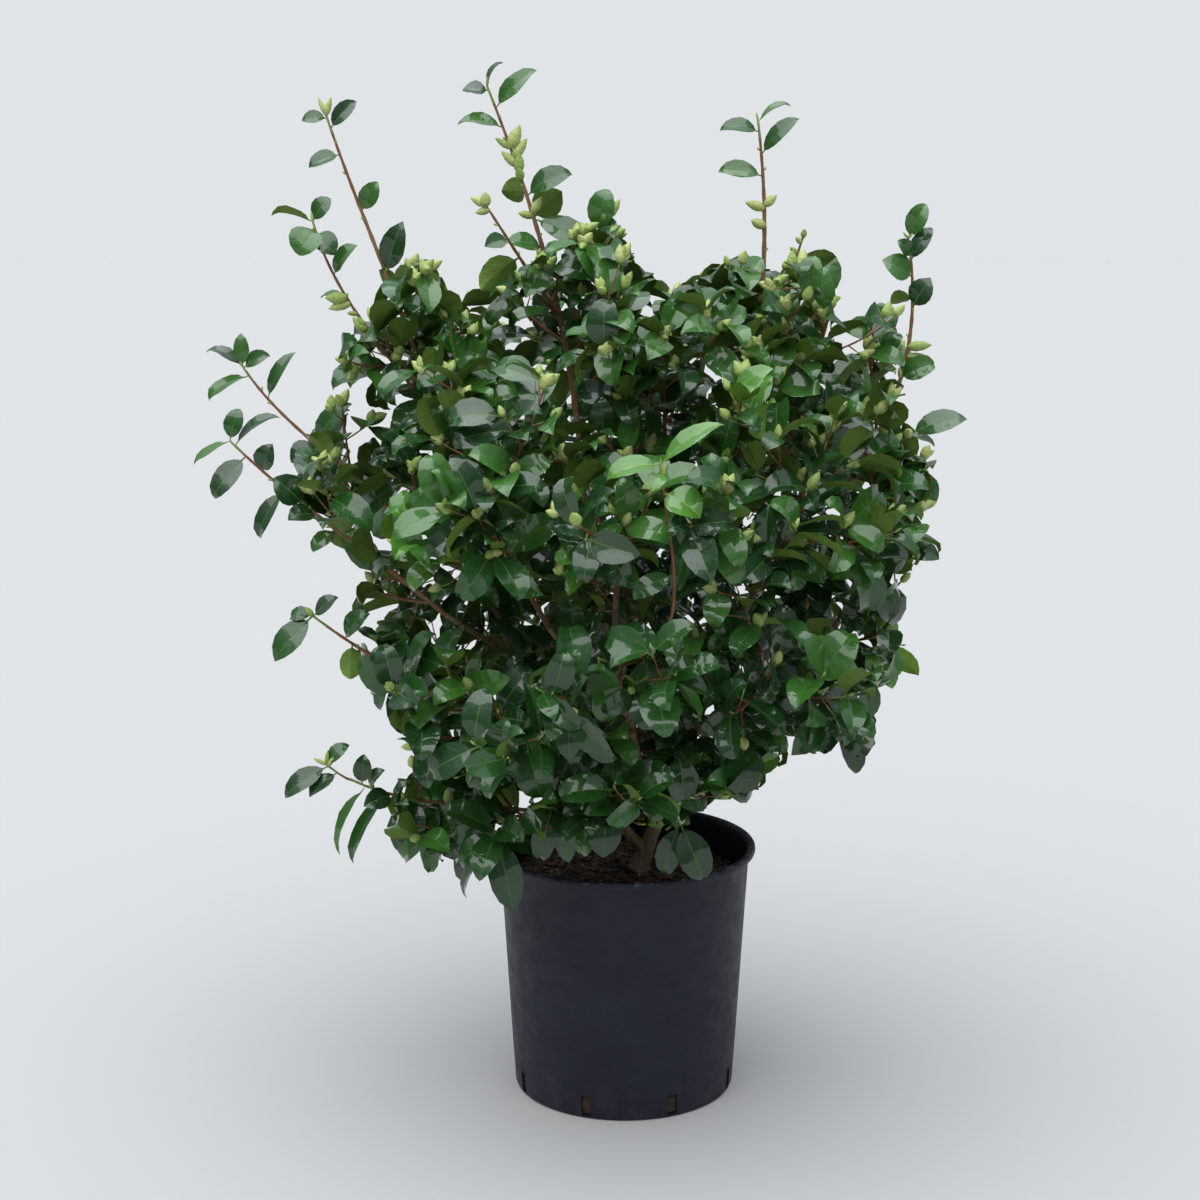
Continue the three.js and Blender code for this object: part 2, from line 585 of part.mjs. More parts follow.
// A limb's solid, cut clear of the limb that it leaves, or for the trunk cut flat at the ground
function limbMesh(limb) {
  const flare = (one) => (one.parent ? 0 : ROOT_FLARE);
  const ground = new THREE.BoxGeometry(GROUND_BOX, GROUND_BOX, GROUND_BOX)
    .translate(TRUNK.foot[0], TRUNK.foot[1], TRUNK.foot[2] - GROUND_BOX / 2);
  const parent = limbs.get(limb.parent);
  const cut = parent ? rodSolid(parent, LIMB_CLEARANCE, flare(parent)) : solid(ground);
  return mesh(limb.name, geometryOf(largestBody(rodSolid(limb, 0, flare(limb)).subtract(cut))), 'bark');
}

placeTrunkAndStems();
MASSES.filter((mass) => mass.bough).forEach(placeBough);
MASSES.forEach((mass, index) => {
  mass.seed = index + 1;
  mass.shootList = placeShoots(mass);
  mass.runs = mass.shootList.map((shoot) => chordsOf(shoot.curve));
});

const camellia = new THREE.Group();
camellia.add(mesh('pot', potGeometry(), 'pot'));
camellia.add(mesh('compost', compostGeometry(), 'compost'));
for (const limb of limbs.values()) camellia.add(limbMesh(limb));
for (const mass of MASSES) {
  camellia.add(mesh(`foliage_${mass.name}`, geometryOf(growMass(mass)), 'foliage'));
}

export default camellia;
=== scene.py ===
# The looks of a potted camellia shrub: wet glossy leaves, pale flower buds, twigs that ripen from
# green to tan, barked limbs, and a black nursery pot of compost.
#
# The frame is in metres with +Z up. The shrub's sizes and growth rule are the solids' own, in
# millimetres, and its twigs are carried on from there to finer ones with life-size leaves.

import json
import math

import bpy
import numpy as np
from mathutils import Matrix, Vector, noise

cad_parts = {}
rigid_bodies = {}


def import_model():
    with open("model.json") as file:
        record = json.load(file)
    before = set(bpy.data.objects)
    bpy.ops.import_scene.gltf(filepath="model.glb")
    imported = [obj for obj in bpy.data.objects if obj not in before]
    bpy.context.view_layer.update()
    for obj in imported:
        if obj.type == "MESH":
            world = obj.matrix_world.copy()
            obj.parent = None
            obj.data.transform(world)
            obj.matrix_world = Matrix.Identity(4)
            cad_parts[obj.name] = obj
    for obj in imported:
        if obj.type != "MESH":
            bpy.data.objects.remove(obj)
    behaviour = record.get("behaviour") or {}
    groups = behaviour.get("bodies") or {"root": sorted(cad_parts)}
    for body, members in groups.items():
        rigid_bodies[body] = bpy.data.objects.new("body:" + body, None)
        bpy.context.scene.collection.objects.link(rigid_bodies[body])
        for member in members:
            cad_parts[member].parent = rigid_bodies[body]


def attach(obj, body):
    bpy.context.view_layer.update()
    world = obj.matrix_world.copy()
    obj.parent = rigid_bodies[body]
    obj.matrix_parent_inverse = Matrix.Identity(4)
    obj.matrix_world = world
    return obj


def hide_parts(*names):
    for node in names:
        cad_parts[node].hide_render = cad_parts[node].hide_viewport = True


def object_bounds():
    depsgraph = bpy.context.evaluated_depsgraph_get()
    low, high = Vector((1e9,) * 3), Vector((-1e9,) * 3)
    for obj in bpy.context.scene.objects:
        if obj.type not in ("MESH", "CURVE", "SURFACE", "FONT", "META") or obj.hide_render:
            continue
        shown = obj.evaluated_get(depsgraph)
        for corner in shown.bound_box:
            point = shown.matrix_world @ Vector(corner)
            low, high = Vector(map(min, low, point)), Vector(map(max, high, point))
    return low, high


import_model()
CAD_BOX = [list(corner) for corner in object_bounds()]
MM = 0.001

# The photo's camera: its place, how far it looks down, its lens and the width of its sensor in
# millimetres, and the photo's side in pixels
CAMERA_PLACE = (-0.037, -3.437, 1.476)
CAMERA_DOWN_DEGREES = 11.78
CAMERA_LENS = 70.5
CAMERA_SENSOR = 36
PHOTO_SIDE = 1200

# The outline of the crown's body in the photo, in its pixels from the upper left, read off:
# outside it grow only the shoots and leaves that are listed further down
CROWN_OUTLINE = (
    (340, 346), (352, 332), (372, 320), (384, 300), (386, 276), (400, 268), (424, 262), (450, 266),
    (442, 284), (452, 296), (478, 292), (500, 288), (528, 268), (548, 244), (576, 232), (602, 226),
    (624, 228), (616, 238), (632, 252), (640, 270), (674, 290), (700, 276), (716, 268), (732, 254),
    (760, 254), (770, 272), (784, 268), (802, 258), (812, 250), (838, 252), (838, 266), (824, 280),
    (836, 292), (836, 316), (852, 318), (864, 308), (884, 308), (896, 300), (902, 330), (906, 372),
    (902, 400), (906, 430), (924, 452), (938, 466), (938, 490), (922, 510), (926, 530), (940, 544),
    (940, 558), (914, 566), (904, 580), (892, 634), (912, 642), (920, 658), (918, 676), (898, 676),
    (880, 690), (872, 720), (870, 772), (848, 772), (838, 734), (826, 756), (800, 752), (770, 770),
    (752, 796), (716, 798), (702, 816), (676, 828), (640, 826), (606, 832), (580, 846), (552, 846),
    (532, 856), (512, 868), (486, 872), (468, 890), (456, 890), (452, 872), (430, 868), (404, 860),
    (392, 840), (386, 815), (394, 790), (410, 766), (412, 756), (402, 742), (388, 722), (392, 694),
    (376, 698), (370, 676), (356, 668), (352, 640), (356, 618), (350, 602), (356, 590), (378, 578),
    (372, 560), (352, 552), (338, 552), (328, 532), (312, 520), (300, 502), (296, 482), (292, 462),
    (300, 442), (316, 426), (330, 416), (322, 398), (332, 378), (344, 370), (336, 356))

# The pot, as the solids have it
POT_HEIGHT = 382
POT_RIM_RADIUS = 200
POT_TOP_RADIUS = 185
POT_FOOT_RADIUS = 168
POT_WALL = 3
POT_SEGMENTS = 144
SLOT_COUNT = 8
SLOT_WIDTH = 15
SLOT_HEIGHT = 34
SLOT_FIRST_DEGREES = 25

# The compost
SOIL_LEVEL = 337
SOIL_SETTLED = 6
CLEARANCE = 0.3

# The shrub's sizes and rule, as the solids have them
ROOT_FLARE = 7
BOUGH_RADII = (5.6, 3.8)
SHOOT_RADIUS = 2.8
SHOOT_TIP_RADIUS = 1.6
TWIG_SHARE = 0.62
TWIG_TAPER = 0.8
TWIG_GAP = 42
SPACE_MARGIN = 2.6
LIMB_MARGIN = 4.5
POT_MARGIN = 4
WALL_MARGIN = 12
SOIL_MARGIN = 8
BOUGH_LIFT = 0.45
SHOOT_LIFT = 0.35
TWIG_LIFT = 0.18
TWIG_SPREAD = (48, 70)
TWIG_LENGTH = (0.5, 0.82)
TWIG_CUTS = (1, 0.8, 0.62, 0.46)
TWIG_ROOT_SHARE = 0.12
FURTHER_BUSHY = 0.35
CHORDS = 24
SHOOT_SIDES = {"sides": 4, "steps": 4}
FURTHER_SIDES = {"sides": 3, "steps": 3}
TWIG_SIDES = {"sides": 3, "steps": 1}
UP = np.array((0.0, 0.0, 1.0))
EAST = np.array((1.0, 0.0, 0.0))
CROWN_HEART = np.array((0.0, 0.0, 760.0))

TRUNK = {"name": "trunk", "foot": (20, 0, SOIL_LEVEL + CLEARANCE), "leave": (0.38, 0, 0.92),
         "end": (165, 15, 1030), "arrive": (0.05, 0, 1), "radii": (11, 5.2)}
STEMS = (
    {"name": "stem_left", "parent": "trunk", "at": 0.045, "leave": (-0.62, -0.22, 0.75),
     "end": (-262, -50, 985), "arrive": (-0.22, 0, 0.97), "radii": (8.5, 4.6)},
    {"name": "stem_centre", "parent": "trunk", "at": 0.17, "leave": (-0.5, 0.18, 0.85),
     "end": (-72, 12, 1040), "arrive": (-0.12, 0, 0.99), "radii": (8, 4.8)},
    {"name": "stem_front", "parent": "trunk", "at": 0.1, "leave": (-0.1, -0.62, 0.78),
     "end": (-14, -215, 815), "arrive": (0.08, -0.5, 0.86), "radii": (7.5, 4.4)},
    {"name": "stem_back", "parent": "trunk", "at": 0.13, "leave": (-0.05, 0.64, 0.76),
     "end": (-10, 185, 845), "arrive": (-0.06, 0.45, 0.89), "radii": (7.5, 4.4)},
    {"name": "stem_right", "parent": "trunk", "at": 0.3, "leave": (0.78, 0.02, 0.62),
     "end": (335, 5, 940), "arrive": (0.12, 0, 0.99), "radii": (7.5, 4.4)},
)

# The masses of foliage in the solids' order, which their seeds follow. A mass either sits on the
# tip of a stem or has a bough that leaves one: (limb, share of its length, bough's end).
MASSES = (
    {"name": "top_left_leader", "on": "stem_left", "tip": (-424, -50, 1448), "reach": 135,
     "bushy": 0.5, "shoots": ((0.1, (-442, -118, 1290)),)},
    {"name": "left_upper", "bough": ("stem_left", 0.72, (-275, -90, 870)),
     "tip": (-552, -55, 1105), "reach": 135, "bushy": 0.7},
    {"name": "left_middle", "bough": ("stem_left", 0.52, (-262, -125, 765)),
     "tip": (-530, -150, 958), "reach": 130, "bushy": 0.75},
    {"name": "left_lower", "bough": ("stem_left", 0.34, (-200, -110, 610)),
     "tip": (-420, -185, 725), "reach": 140, "bushy": 0.85},
    {"name": "skirt_left", "bough": ("stem_left", 0.13, (-100, -120, 462)),
     "tip": (-395, -200, 540), "reach": 130, "bushy": 0.85,
     "shoots": ((0.1, (-185, -255, 478)),)},
    {"name": "skirt_front", "bough": ("stem_front", 0.16, (-18, -100, 470)),
     "tip": (-48, -262, 560), "reach": 145, "bushy": 1},
    {"name": "skirt_right", "bough": ("trunk", 0.2, (105, -85, 490)),
     "tip": (150, -235, 575), "reach": 140, "bushy": 1},
    {"name": "right_lower", "bough": ("stem_right", 0.26, (212, -30, 560)),
     "tip": (335, -52, 650), "reach": 145, "bushy": 0.95},
    {"name": "right_middle", "bough": ("stem_right", 0.46, (280, -45, 680)),
     "tip": (350, -60, 815), "reach": 145, "bushy": 0.95},
    {"name": "right_upper", "bough": ("stem_right", 0.76, (335, -60, 830)),
     "tip": (388, -58, 995), "reach": 135, "bushy": 0.9},
    {"name": "right_leader", "on": "stem_right", "tip": (416, 0, 1306), "reach": 120,
     "bushy": 0.5},
    {"name": "right_centre_leader", "on": "trunk", "tip": (199, 0, 1452), "reach": 135,
     "bushy": 0.45, "shoots": ((0.12, (250, -12, 1245)), (0.06, (138, -42, 1210)))},
    {"name": "top_right", "bough": ("trunk", 0.78, (222, -68, 950)),
     "tip": (292, -70, 1200), "reach": 135, "bushy": 0.95},
    {"name": "top_centre_leader", "on": "stem_centre", "tip": (-196, 0, 1505), "reach": 135,
     "bushy": 0.42, "shoots": ((0.3, (-206, -52, 1292)), (0.16, (-36, -8, 1262)))},
    {"name": "top_middle", "bough": ("trunk", 0.7, (60, -72, 900)),
     "tip": (52, -128, 1150), "reach": 150, "bushy": 1},
    {"name": "front_left_upper", "bough": ("stem_front", 0.6, (-110, -190, 760)),
     "tip": (-215, -295, 985), "reach": 165, "bushy": 1},
    {"name": "front_centre_upper", "on": "stem_front", "tip": (28, -335, 975), "reach": 160,
     "bushy": 0.9},
    {"name": "front_right_upper", "bough": ("trunk", 0.5, (175, -140, 780)),
     "tip": (250, -275, 975), "reach": 160, "bushy": 1},
    {"name": "front_left_lower", "bough": ("stem_front", 0.32, (-95, -160, 560)),
     "tip": (-215, -300, 700), "reach": 160, "bushy": 1},
    {"name": "front_centre_lower", "bough": ("stem_front", 0.44, (-2, -215, 615)),
     "tip": (-10, -350, 745), "reach": 150, "bushy": 1},
    {"name": "front_right_lower", "bough": ("trunk", 0.34, (145, -130, 600)),
     "tip": (205, -300, 735), "reach": 155, "bushy": 1},
    {"name": "back_top", "bough": ("stem_centre", 0.72, (10, 105, 905)),
     "tip": (22, 178, 1140), "reach": 155, "bushy": 1},
    {"name": "back_centre_upper", "on": "stem_back", "tip": (-32, 345, 1010), "reach": 165,
     "bushy": 0.95},
    {"name": "back_left_upper", "bough": ("stem_back", 0.66, (-140, 155, 800)),
     "tip": (-290, 250, 990), "reach": 170, "bushy": 0.95},
    {"name": "back_right_upper", "bough": ("stem_back", 0.74, (140, 170, 815)),
     "tip": (280, 250, 990), "reach": 165, "bushy": 0.95},
    {"name": "back_centre_lower", "bough": ("stem_back", 0.36, (20, 175, 570)),
     "tip": (28, 330, 670), "reach": 160, "bushy": 1},
    {"name": "back_left_lower", "bough": ("stem_back", 0.26, (-120, 115, 545)),
     "tip": (-310, 225, 640), "reach": 165, "bushy": 0.95},
    {"name": "back_right_lower", "bough": ("stem_back", 0.31, (150, 120, 555)),
     "tip": (295, 230, 650), "reach": 160, "bushy": 0.95},
)

# What each run of random numbers that only the looks have starts from
FINE_TWIG_SEED = 7000
INNER_SEED = 20000
NODE_BUD_SEED = 31000
SEEN_LEAF_SEED = 39999
SPRAY_SEED = 40000
CHIP_SEED = 911

# Near enough a full turn, for random turns and phases
ANY_TURN = 6.28

# How the solids' shoots and twigs are drawn and carried on, in millimetres. A tested share is
# one of a twig's length where it has to keep to its mass's space, and a slack widens that
# space for what only the looks have.
FINE_STEPS = 60
LENGTH_TICKS = np.linspace(0, 1, 201)
TWIG_IN_OUTLINE = 0.6
TWIG_ONWARD = (1.4, 1.25, 1.1, 0.95, 0.8, 0.65, 0.5)
TWIG_RISE = 0.1
TWIG_TIP_LIFT = 0.5
TWIG_TESTED = np.linspace(0.4, 1, 8)
SPACE_SLACK = 22

# The fine twigs on them, in millimetres and degrees
FINE_TWIG_GAP = 32
FINE_TWIG_FIRST = 0.8
FINE_TWIG_LAST = 0.9
FINE_TWIG_LENGTH = (34, 68)
FINE_TWIG_SPREAD = (38, 62)
FINE_TWIG_RADII = (1.15, 0.8)
FINE_TWIG_LIFT = 0.15
FINE_TIP_LIFT = 0.4
FINE_TWIG_TESTED = np.linspace(0.3, 1, 5)
FINE_MARGIN = 2
PLACE_TRIES = 3
RETRY_TURN = 2.1

# The leafy twigs that grow straight from the limbs
INNER_TWIG_GAP = 30
INNER_TWIG_LENGTH = (40, 80)
INNER_ALONG = 0.45
INNER_TESTED = np.linspace(0.35, 1, 5)
INNER_SLACK = 75

# Where leaves hang: along a twig, and in the tuft at its tip
FIRST_LEAF = 24
LEAF_GAP = 19
LEAF_GAP_SPREAD = 5
LEAF_TURN = 137.5
TUFT_LEAVES = 3
TUFT_FIRST = 2
TUFT_GAP = 5
TUFT_TURN = 2.2

# A leaf's size, stance and bend, in millimetres and degrees. Leaves grow larger up to a
# distance from the tip.
LEAF_LENGTHS = (66, 100)
LEAF_WIDTHS = (0.52, 0.64)
TIP_LEAF_SIZES = (0.78, 1.0)
TIP_LEAVES_GROWN = 40
LEAF_SPREAD = (40, 72)
LEAF_TURN_SPREAD = 1.1
LEAF_DROOP = (0.12, 0.5)
DROOP_SPREAD = 0.25
LEAF_ARCH = (20, 75)
LEAF_CURL = (30, 130)
LEAF_FOLD = (8, 36)
LEAF_TWIST = 0.9
LEAF_WAVE = (0.6, 2.6)
FACE_UP = 1.35
FACE_ALONG = 0.5
FACE_ROLL = 1.6

# How a leaf's place is chosen: from several tries the one with the most room, in millimetres
LEAF_TRIES = 9
LEAF_MARGIN = 1.5
LEAF_IN_OUTLINE = 0.8
LEAF_ROOM = 6.2
ROOM_SEARCHED = 24.0
ROOM_PLACES = 90000
ROD_PROBE_GAP = 14
ROD_PROBES_FROM = 0.15
BOX_SLACK = 25
LOWEST_LEAF = 4

# The tones of leaves: the shares up to the end of each but the last, and how much brighter
# they get up the crown and darker low in it: painted light from above and painted shade below
TONE_SHARES = (0.34, 0.76, 0.985)
PAINTED_LIGHT_LIFT = 0.2

# The share of each kind of rod's length, from its root, that is bare of leaves
BARE_SHARE = {"shoot": 0.25, "twig": 0.3, "fine": 0.45, "inner": 0.4}

# Where a change up the crown begins and how much higher it is complete, in millimetres
DROOP_RISE = (450, 750)
FLOWER_RISE = (620, 450)
# Painted light on the leaves: where it starts up the crown and how much higher it is full
PAINTED_LIGHT_RISE = (800, 500)

# Young bright leaves: the middle and the radius of each place that has them
YOUNG_SPRAYS = (((-270, -330, 1079), 62), ((47, -405, 1035), 72), ((-37, -400, 903), 40),
                ((393, -100, 698), 60), ((164, -380, 702), 40), ((-303, -280, 503), 45))


def seeded(seed):
    """Random numbers from 0 to 1 by the solids' rule"""
    state = seed * 7919 + 104729

    def draw():
        nonlocal state
        state = state * 16807 % 2147483647
        return state / 2147483647

    draw()
    return draw


def within(limits, share):
    """The number at a share of the way between two limits"""
    return limits[0] + (limits[1] - limits[0]) * share


def unit(vector):
    """A vector of length 1 the same way"""
    return vector / np.linalg.norm(vector)


def climbed(place, start, rise, least=0):
    """How far up a rise a place has come, as a share from the least to 1"""
    return np.clip((place[2] - start) / rise, least, 1)


def turned(vector, about, angle):
    """A vector turned about a unit vector"""
    return (vector * math.cos(angle) + np.cross(about, vector) * math.sin(angle)
            + about * about.dot(vector) * (1 - math.cos(angle)))


class Rod:
    """A tapering limb, shoot or twig along a cubic curve"""

    def __init__(self, controls, radii, sides=5, steps=3, phase=0.0):
        self.controls = np.array(controls, float)
        self.radii = radii
        self.sides = sides
        self.steps = steps
        self.phase = phase

    def points(self, shares):
        """The points at several shares of the curve"""
        s = np.asarray(shares, float)[:, None]
        a, b, c, d = self.controls
        return (1 - s) ** 3 * a + 3 * (1 - s) ** 2 * s * b + 3 * (1 - s) * s * s * c + s ** 3 * d

    def point(self, share):
        return self.points((share,))[0]

    def tangent(self, share):
        """The heading at a share of the curve"""
        a, b, c, d = self.controls
        s = share
        return unit((1 - s) ** 2 * (b - a) + 2 * (1 - s) * s * (c - b) + s * s * (d - c))

    def place(self, share):
        """A point on the solid's straight steps"""
        step = min(int(share * self.steps), self.steps - 1)
        start, end = self.points((step / self.steps, (step + 1) / self.steps))
        return start + (end - start) * (share * self.steps - step)

    def length(self):
        return np.linalg.norm(np.diff(self.points(LENGTH_TICKS), axis=0), axis=1).sum()

    def spoke(self, share, turn):
        """The direction out from the rod, turned from its first edge"""
        start = self.tangent(0)
        level = UP if abs(start[2]) < 0.9 else EAST
        along = self.tangent(share)
        side = np.cross(level, start)
        return turned(unit(side - along * side.dot(along)), along, self.phase + turn)

    def face_turn(self, face):
        """The turn to the middle of one of the solid's faces"""
        return 2 * math.pi * (face + 0.5) / self.sides


def curved(start, leave, end, arrive, radii, **shape):
    """A rod that leaves and arrives with the given headings"""
    start, end = np.array(start, float), np.array(end, float)
    pull = np.linalg.norm(end - start) / 3
    return Rod((start, start + leave * pull, end - arrive * pull, end), radii, **shape)


def straight(start, end, radii, **shape):
    """A rod straight from one place to another"""
    return Rod((start, start + (end - start) / 3, end - (end - start) / 3, end), radii, **shape)


def leaving(parent, share, start, end):
    """The heading of a rod that parts from another, drawn a little along it"""
    return unit(unit(end - start) + BOUGH_LIFT * parent.tangent(share))


def place_limbs():
    """The trunk, stems and boughs by name"""
    limbs = {"trunk": curved(TRUNK["foot"], unit(np.array(TRUNK["leave"])), TRUNK["end"],
                             unit(np.array(TRUNK["arrive"])), TRUNK["radii"])}
    for stem in STEMS:
        start = limbs[stem["parent"]].point(stem["at"])
        limbs[stem["name"]] = curved(start, unit(np.array(stem["leave"])), stem["end"],
                                     unit(np.array(stem["arrive"])), stem["radii"])
    for mass in MASSES:
        if "bough" in mass:
            parent_name, share, end = mass["bough"]
            parent, end = limbs[parent_name], np.array(end, float)
            start = parent.point(share)
            limbs["bough_" + mass["name"]] = curved(
                start, leaving(parent, share, start, end), end,
                unit(np.array(mass["tip"]) - end), BOUGH_RADII)
    return limbs


def place_shoots(mass, limbs):
    """A mass's stem, just clear of its bough's tip, and its further shoots"""
    carrier = limbs[mass.get("on", "bough_" + mass["name"])]
    arrive = carrier.tangent(1)
    start = carrier.point(1) + CLEARANCE * arrive
    tip = np.array(mass["tip"], float)

    def rising(root, end):
        return unit(unit(end - root) + SHOOT_LIFT * UP)

    stem = curved(start, arrive, tip, rising(start, tip), (carrier.radii[1], SHOOT_TIP_RADIUS),
                  **SHOOT_SIDES)
    shoots = [stem]
    for share, end in mass.get("shoots", ()):
        root, end = stem.place(share), np.array(end, float)
        shoots.append(curved(root, leaving(stem, share, root, end), end, rising(root, end),
                             (SHOOT_RADIUS, SHOOT_TIP_RADIUS), **FURTHER_SIDES))
    return shoots


LIMBS = place_limbs()
SHOOTS = [place_shoots(mass, LIMBS) for mass in MASSES]
TICKS = np.linspace(0, 1, CHORDS + 1)


def pieces_of(rods):
    """Starts and ends of the straight pieces that stand for curves in distance tests"""
    lines = [rod.points(TICKS) for rod in rods]
    return (np.concatenate([line[:-1] for line in lines]),
            np.concatenate([line[1:] for line in lines]))


SHOOT_STARTS, SHOOT_ENDS = pieces_of([rod for rods in SHOOTS for rod in rods])
SHOOT_FIRST = np.cumsum([0] + [CHORDS * len(rods) for rods in SHOOTS[:-1]])
LIMB_STARTS, LIMB_ENDS = pieces_of(LIMBS.values())
LIMB_RADII = np.repeat([max(limb.radii) for limb in LIMBS.values()], CHORDS)


def distances(points, starts, ends):
    """The distance of each point from each straight piece"""
    line = ends - starts
    offset = points[:, None, :] - starts
    share = np.clip((offset * line).sum(-1) / (line * line).sum(-1), 0, 1)
    return np.linalg.norm(offset - share[..., None] * line, axis=-1)


def near_pot(points):
    """Whether each point is too near the pot's wall and rim, or lies in or just over its soil"""
    radius = np.hypot(points[:, 0], points[:, 1])
    in_wall = (radius > POT_TOP_RADIUS - WALL_MARGIN) & (radius < POT_RIM_RADIUS + POT_MARGIN)
    return ((in_wall & (points[:, 2] < POT_HEIGHT + POT_MARGIN))
            | ((radius < POT_RIM_RADIUS) & (points[:, 2] < SOIL_LEVEL + SOIL_MARGIN)))


def in_photo(points):
    """Where points fall in the photo, in its pixels"""
    down = math.radians(CAMERA_DOWN_DEGREES)
    offset = points * MM - CAMERA_PLACE
    depth = offset[:, 1] * math.cos(down) - offset[:, 2] * math.sin(down)
    rise = offset[:, 1] * math.sin(down) + offset[:, 2] * math.cos(down)
    scale = PHOTO_SIDE * CAMERA_LENS / CAMERA_SENSOR / depth
    return PHOTO_SIDE / 2 + np.stack((offset[:, 0] * scale, -rise * scale), axis=1)


def seen_at(x, y, depth):
    """The place behind one of the photo's pixels, at a depth along Y"""
    down = math.radians(CAMERA_DOWN_DEGREES)
    reach = CAMERA_SENSOR / CAMERA_LENS / PHOTO_SIDE
    across, rise = (x - PHOTO_SIDE / 2) * reach, (PHOTO_SIDE / 2 - y) * reach
    ray = np.array((across, math.cos(down) + rise * math.sin(down),
                    rise * math.cos(down) - math.sin(down)))
    return (np.array(CAMERA_PLACE) + ray * (depth * MM - CAMERA_PLACE[1]) / ray[1]) / MM


def in_outline(points):
    """Whether each point falls inside the outline of the crown's body in the photo"""
    x, y = in_photo(points).T[..., None]
    start = np.array(CROWN_OUTLINE, float)
    end = np.roll(start, -1, axis=0)
    passes = (start[:, 1] > y) != (end[:, 1] > y)
    run = end[:, 1] - start[:, 1]
    crossing = start[:, 0] + (y - start[:, 1]) * (end[:, 0] - start[:, 0]) / np.where(run, run, 1)
    return (passes & (x < crossing)).sum(axis=1) % 2 == 1


def in_box(points):
    """Whether each point keeps to the solids' box, give or take a little"""
    low, high = np.array(CAD_BOX) / MM
    low, high = low - (BOX_SLACK, BOX_SLACK, -LOWEST_LEAF), high + BOX_SLACK
    return ((points > low) & (points < high)).all(axis=-1)


# Shoots of the solids whose course the photo shows, by mass and order. Each keeps its root and is
# drawn to the end seen there (x and y in the photo's pixels, depth), with its heading at either end
SEEN_COURSES = {
    ("top_left_leader", 0): ((326, 115, -50), (-0.2, 0, 0.98), (-0.3, 0, 0.95)),
    ("top_left_leader", 1): ((313, 222, -118), (-0.54, -0.1, 0.84), (-0.25, 0, 1)),
    ("left_upper", 0): ((243, 367, -55), (-0.75, 0, 0.66), (-0.5, 0, 0.8)),
    ("left_middle", 0): ((230, 441, -150), (-0.85, 0, 0.75), (-0.7, 0, 0.72)),
    ("left_lower", 0): ((313, 616, -185), (-0.9, -0.1, 0.45), (-0.75, 0, 0.6)),
    ("right_leader", 0): ((908, 237, 0), (0.62, 0, 0.98), (-0.2, 0, 1.1)),
    ("right_centre_leader", 0): ((758, 120, 0), (0.3, 0, 1), (-0.13, 0, 1)),
    ("right_centre_leader", 1): ((803, 237, -12), (0.5, -0.05, 0.86), (0.3, 0, 0.95)),
    ("right_centre_leader", 2): ((720, 277, -42), (-0.2, -0.2, 0.95), (-0.1, 0, 1)),
    ("top_centre_leader", 0): ((487, 86, 0), (-0.12, 0, 0.99), (-0.37, 0, 0.93)),
    ("top_centre_leader", 1): ((485, 204, -52), (-0.6, -0.1, 0.8), (-0.55, 0, 0.83)),
    ("top_centre_leader", 2): ((624, 266, -8), (0.5, -0.05, 0.7), (0.1, 0, 1)),
}


def drawn_shoots(index):
    """A mass's shoots in many fine steps, those with a seen course drawn along it"""
    name, drawn = MASSES[index]["name"], []
    for order, shoot in enumerate(SHOOTS[index]):
        rod = Rod(shoot.controls, shoot.radii, shoot.sides, FINE_STEPS, shoot.phase)
        if order:
            root = drawn[0].point(MASSES[index]["shoots"][order - 1][0])
            rod.controls = rod.controls + np.outer((1, 0.5, 0, 0), root - rod.controls[0])
        if (name, order) in SEEN_COURSES:
            end, leave, arrive = SEEN_COURSES[name, order]
            rod = curved(rod.point(0), np.array(leave), seen_at(*end), np.array(arrive),
                         shoot.radii, sides=shoot.sides, steps=FINE_STEPS, phase=shoot.phase)
        drawn.append(rod)
    return drawn


DRAWN = [drawn_shoots(index) for index in range(len(MASSES))]


def mass_distances(points):
    """The distance of each point from the shoots of each mass"""
    return np.minimum.reduceat(distances(points, SHOOT_STARTS, SHOOT_ENDS), SHOOT_FIRST, axis=1)


def in_space(index, points, margin, slack=0.0):
    """Whether each point lies in a mass's own space, as the solids' rule has it"""
    to_masses = mass_distances(points)
    own = to_masses[:, index].copy()
    to_masses[:, index] = np.inf
    clear = distances(points, LIMB_STARTS, LIMB_ENDS) > LIMB_RADII + margin
    return ((own < MASSES[index]["reach"] + slack) & ~near_pot(points) & clear.all(axis=1)
            & (to_masses.min(axis=1) > own + 2 * SPACE_MARGIN - slack))


def side_twig(index, shoot, share, face, draw):
    """A side twig of the solids, or None where none fits"""
    root = shoot.place(share)
    along = shoot.tangent(share)
    radius = TWIG_SHARE * within(shoot.radii, share)
    spread = math.radians(within(TWIG_SPREAD, draw()))
    length = MASSES[index]["reach"] * within(TWIG_LENGTH, draw())
    phase = 2 * math.pi * draw()
    for cut in TWIG_CUTS:
        for k in range(shoot.sides):
            out = shoot.spoke(share, shoot.face_turn(face + k))
            leave = along * math.cos(spread) + out * math.sin(spread) + UP * TWIG_LIFT
            twig = straight(root, root + leave * length * cut, (radius, radius * TWIG_TAPER),
                            phase=phase, **TWIG_SIDES)
            tested = twig.points(TWIG_ROOT_SHARE + (1 - TWIG_ROOT_SHARE) * TICKS)
            if in_space(index, tested, LIMB_MARGIN).all():
                return twig
    return None


def grows_clear(index, rod, tested, slack):
    """Whether a fine rod keeps to its mass's space and to the crown's outline"""
    line = rod.points(tested)
    return in_space(index, line, FINE_MARGIN, slack).all() and in_outline(line).all()


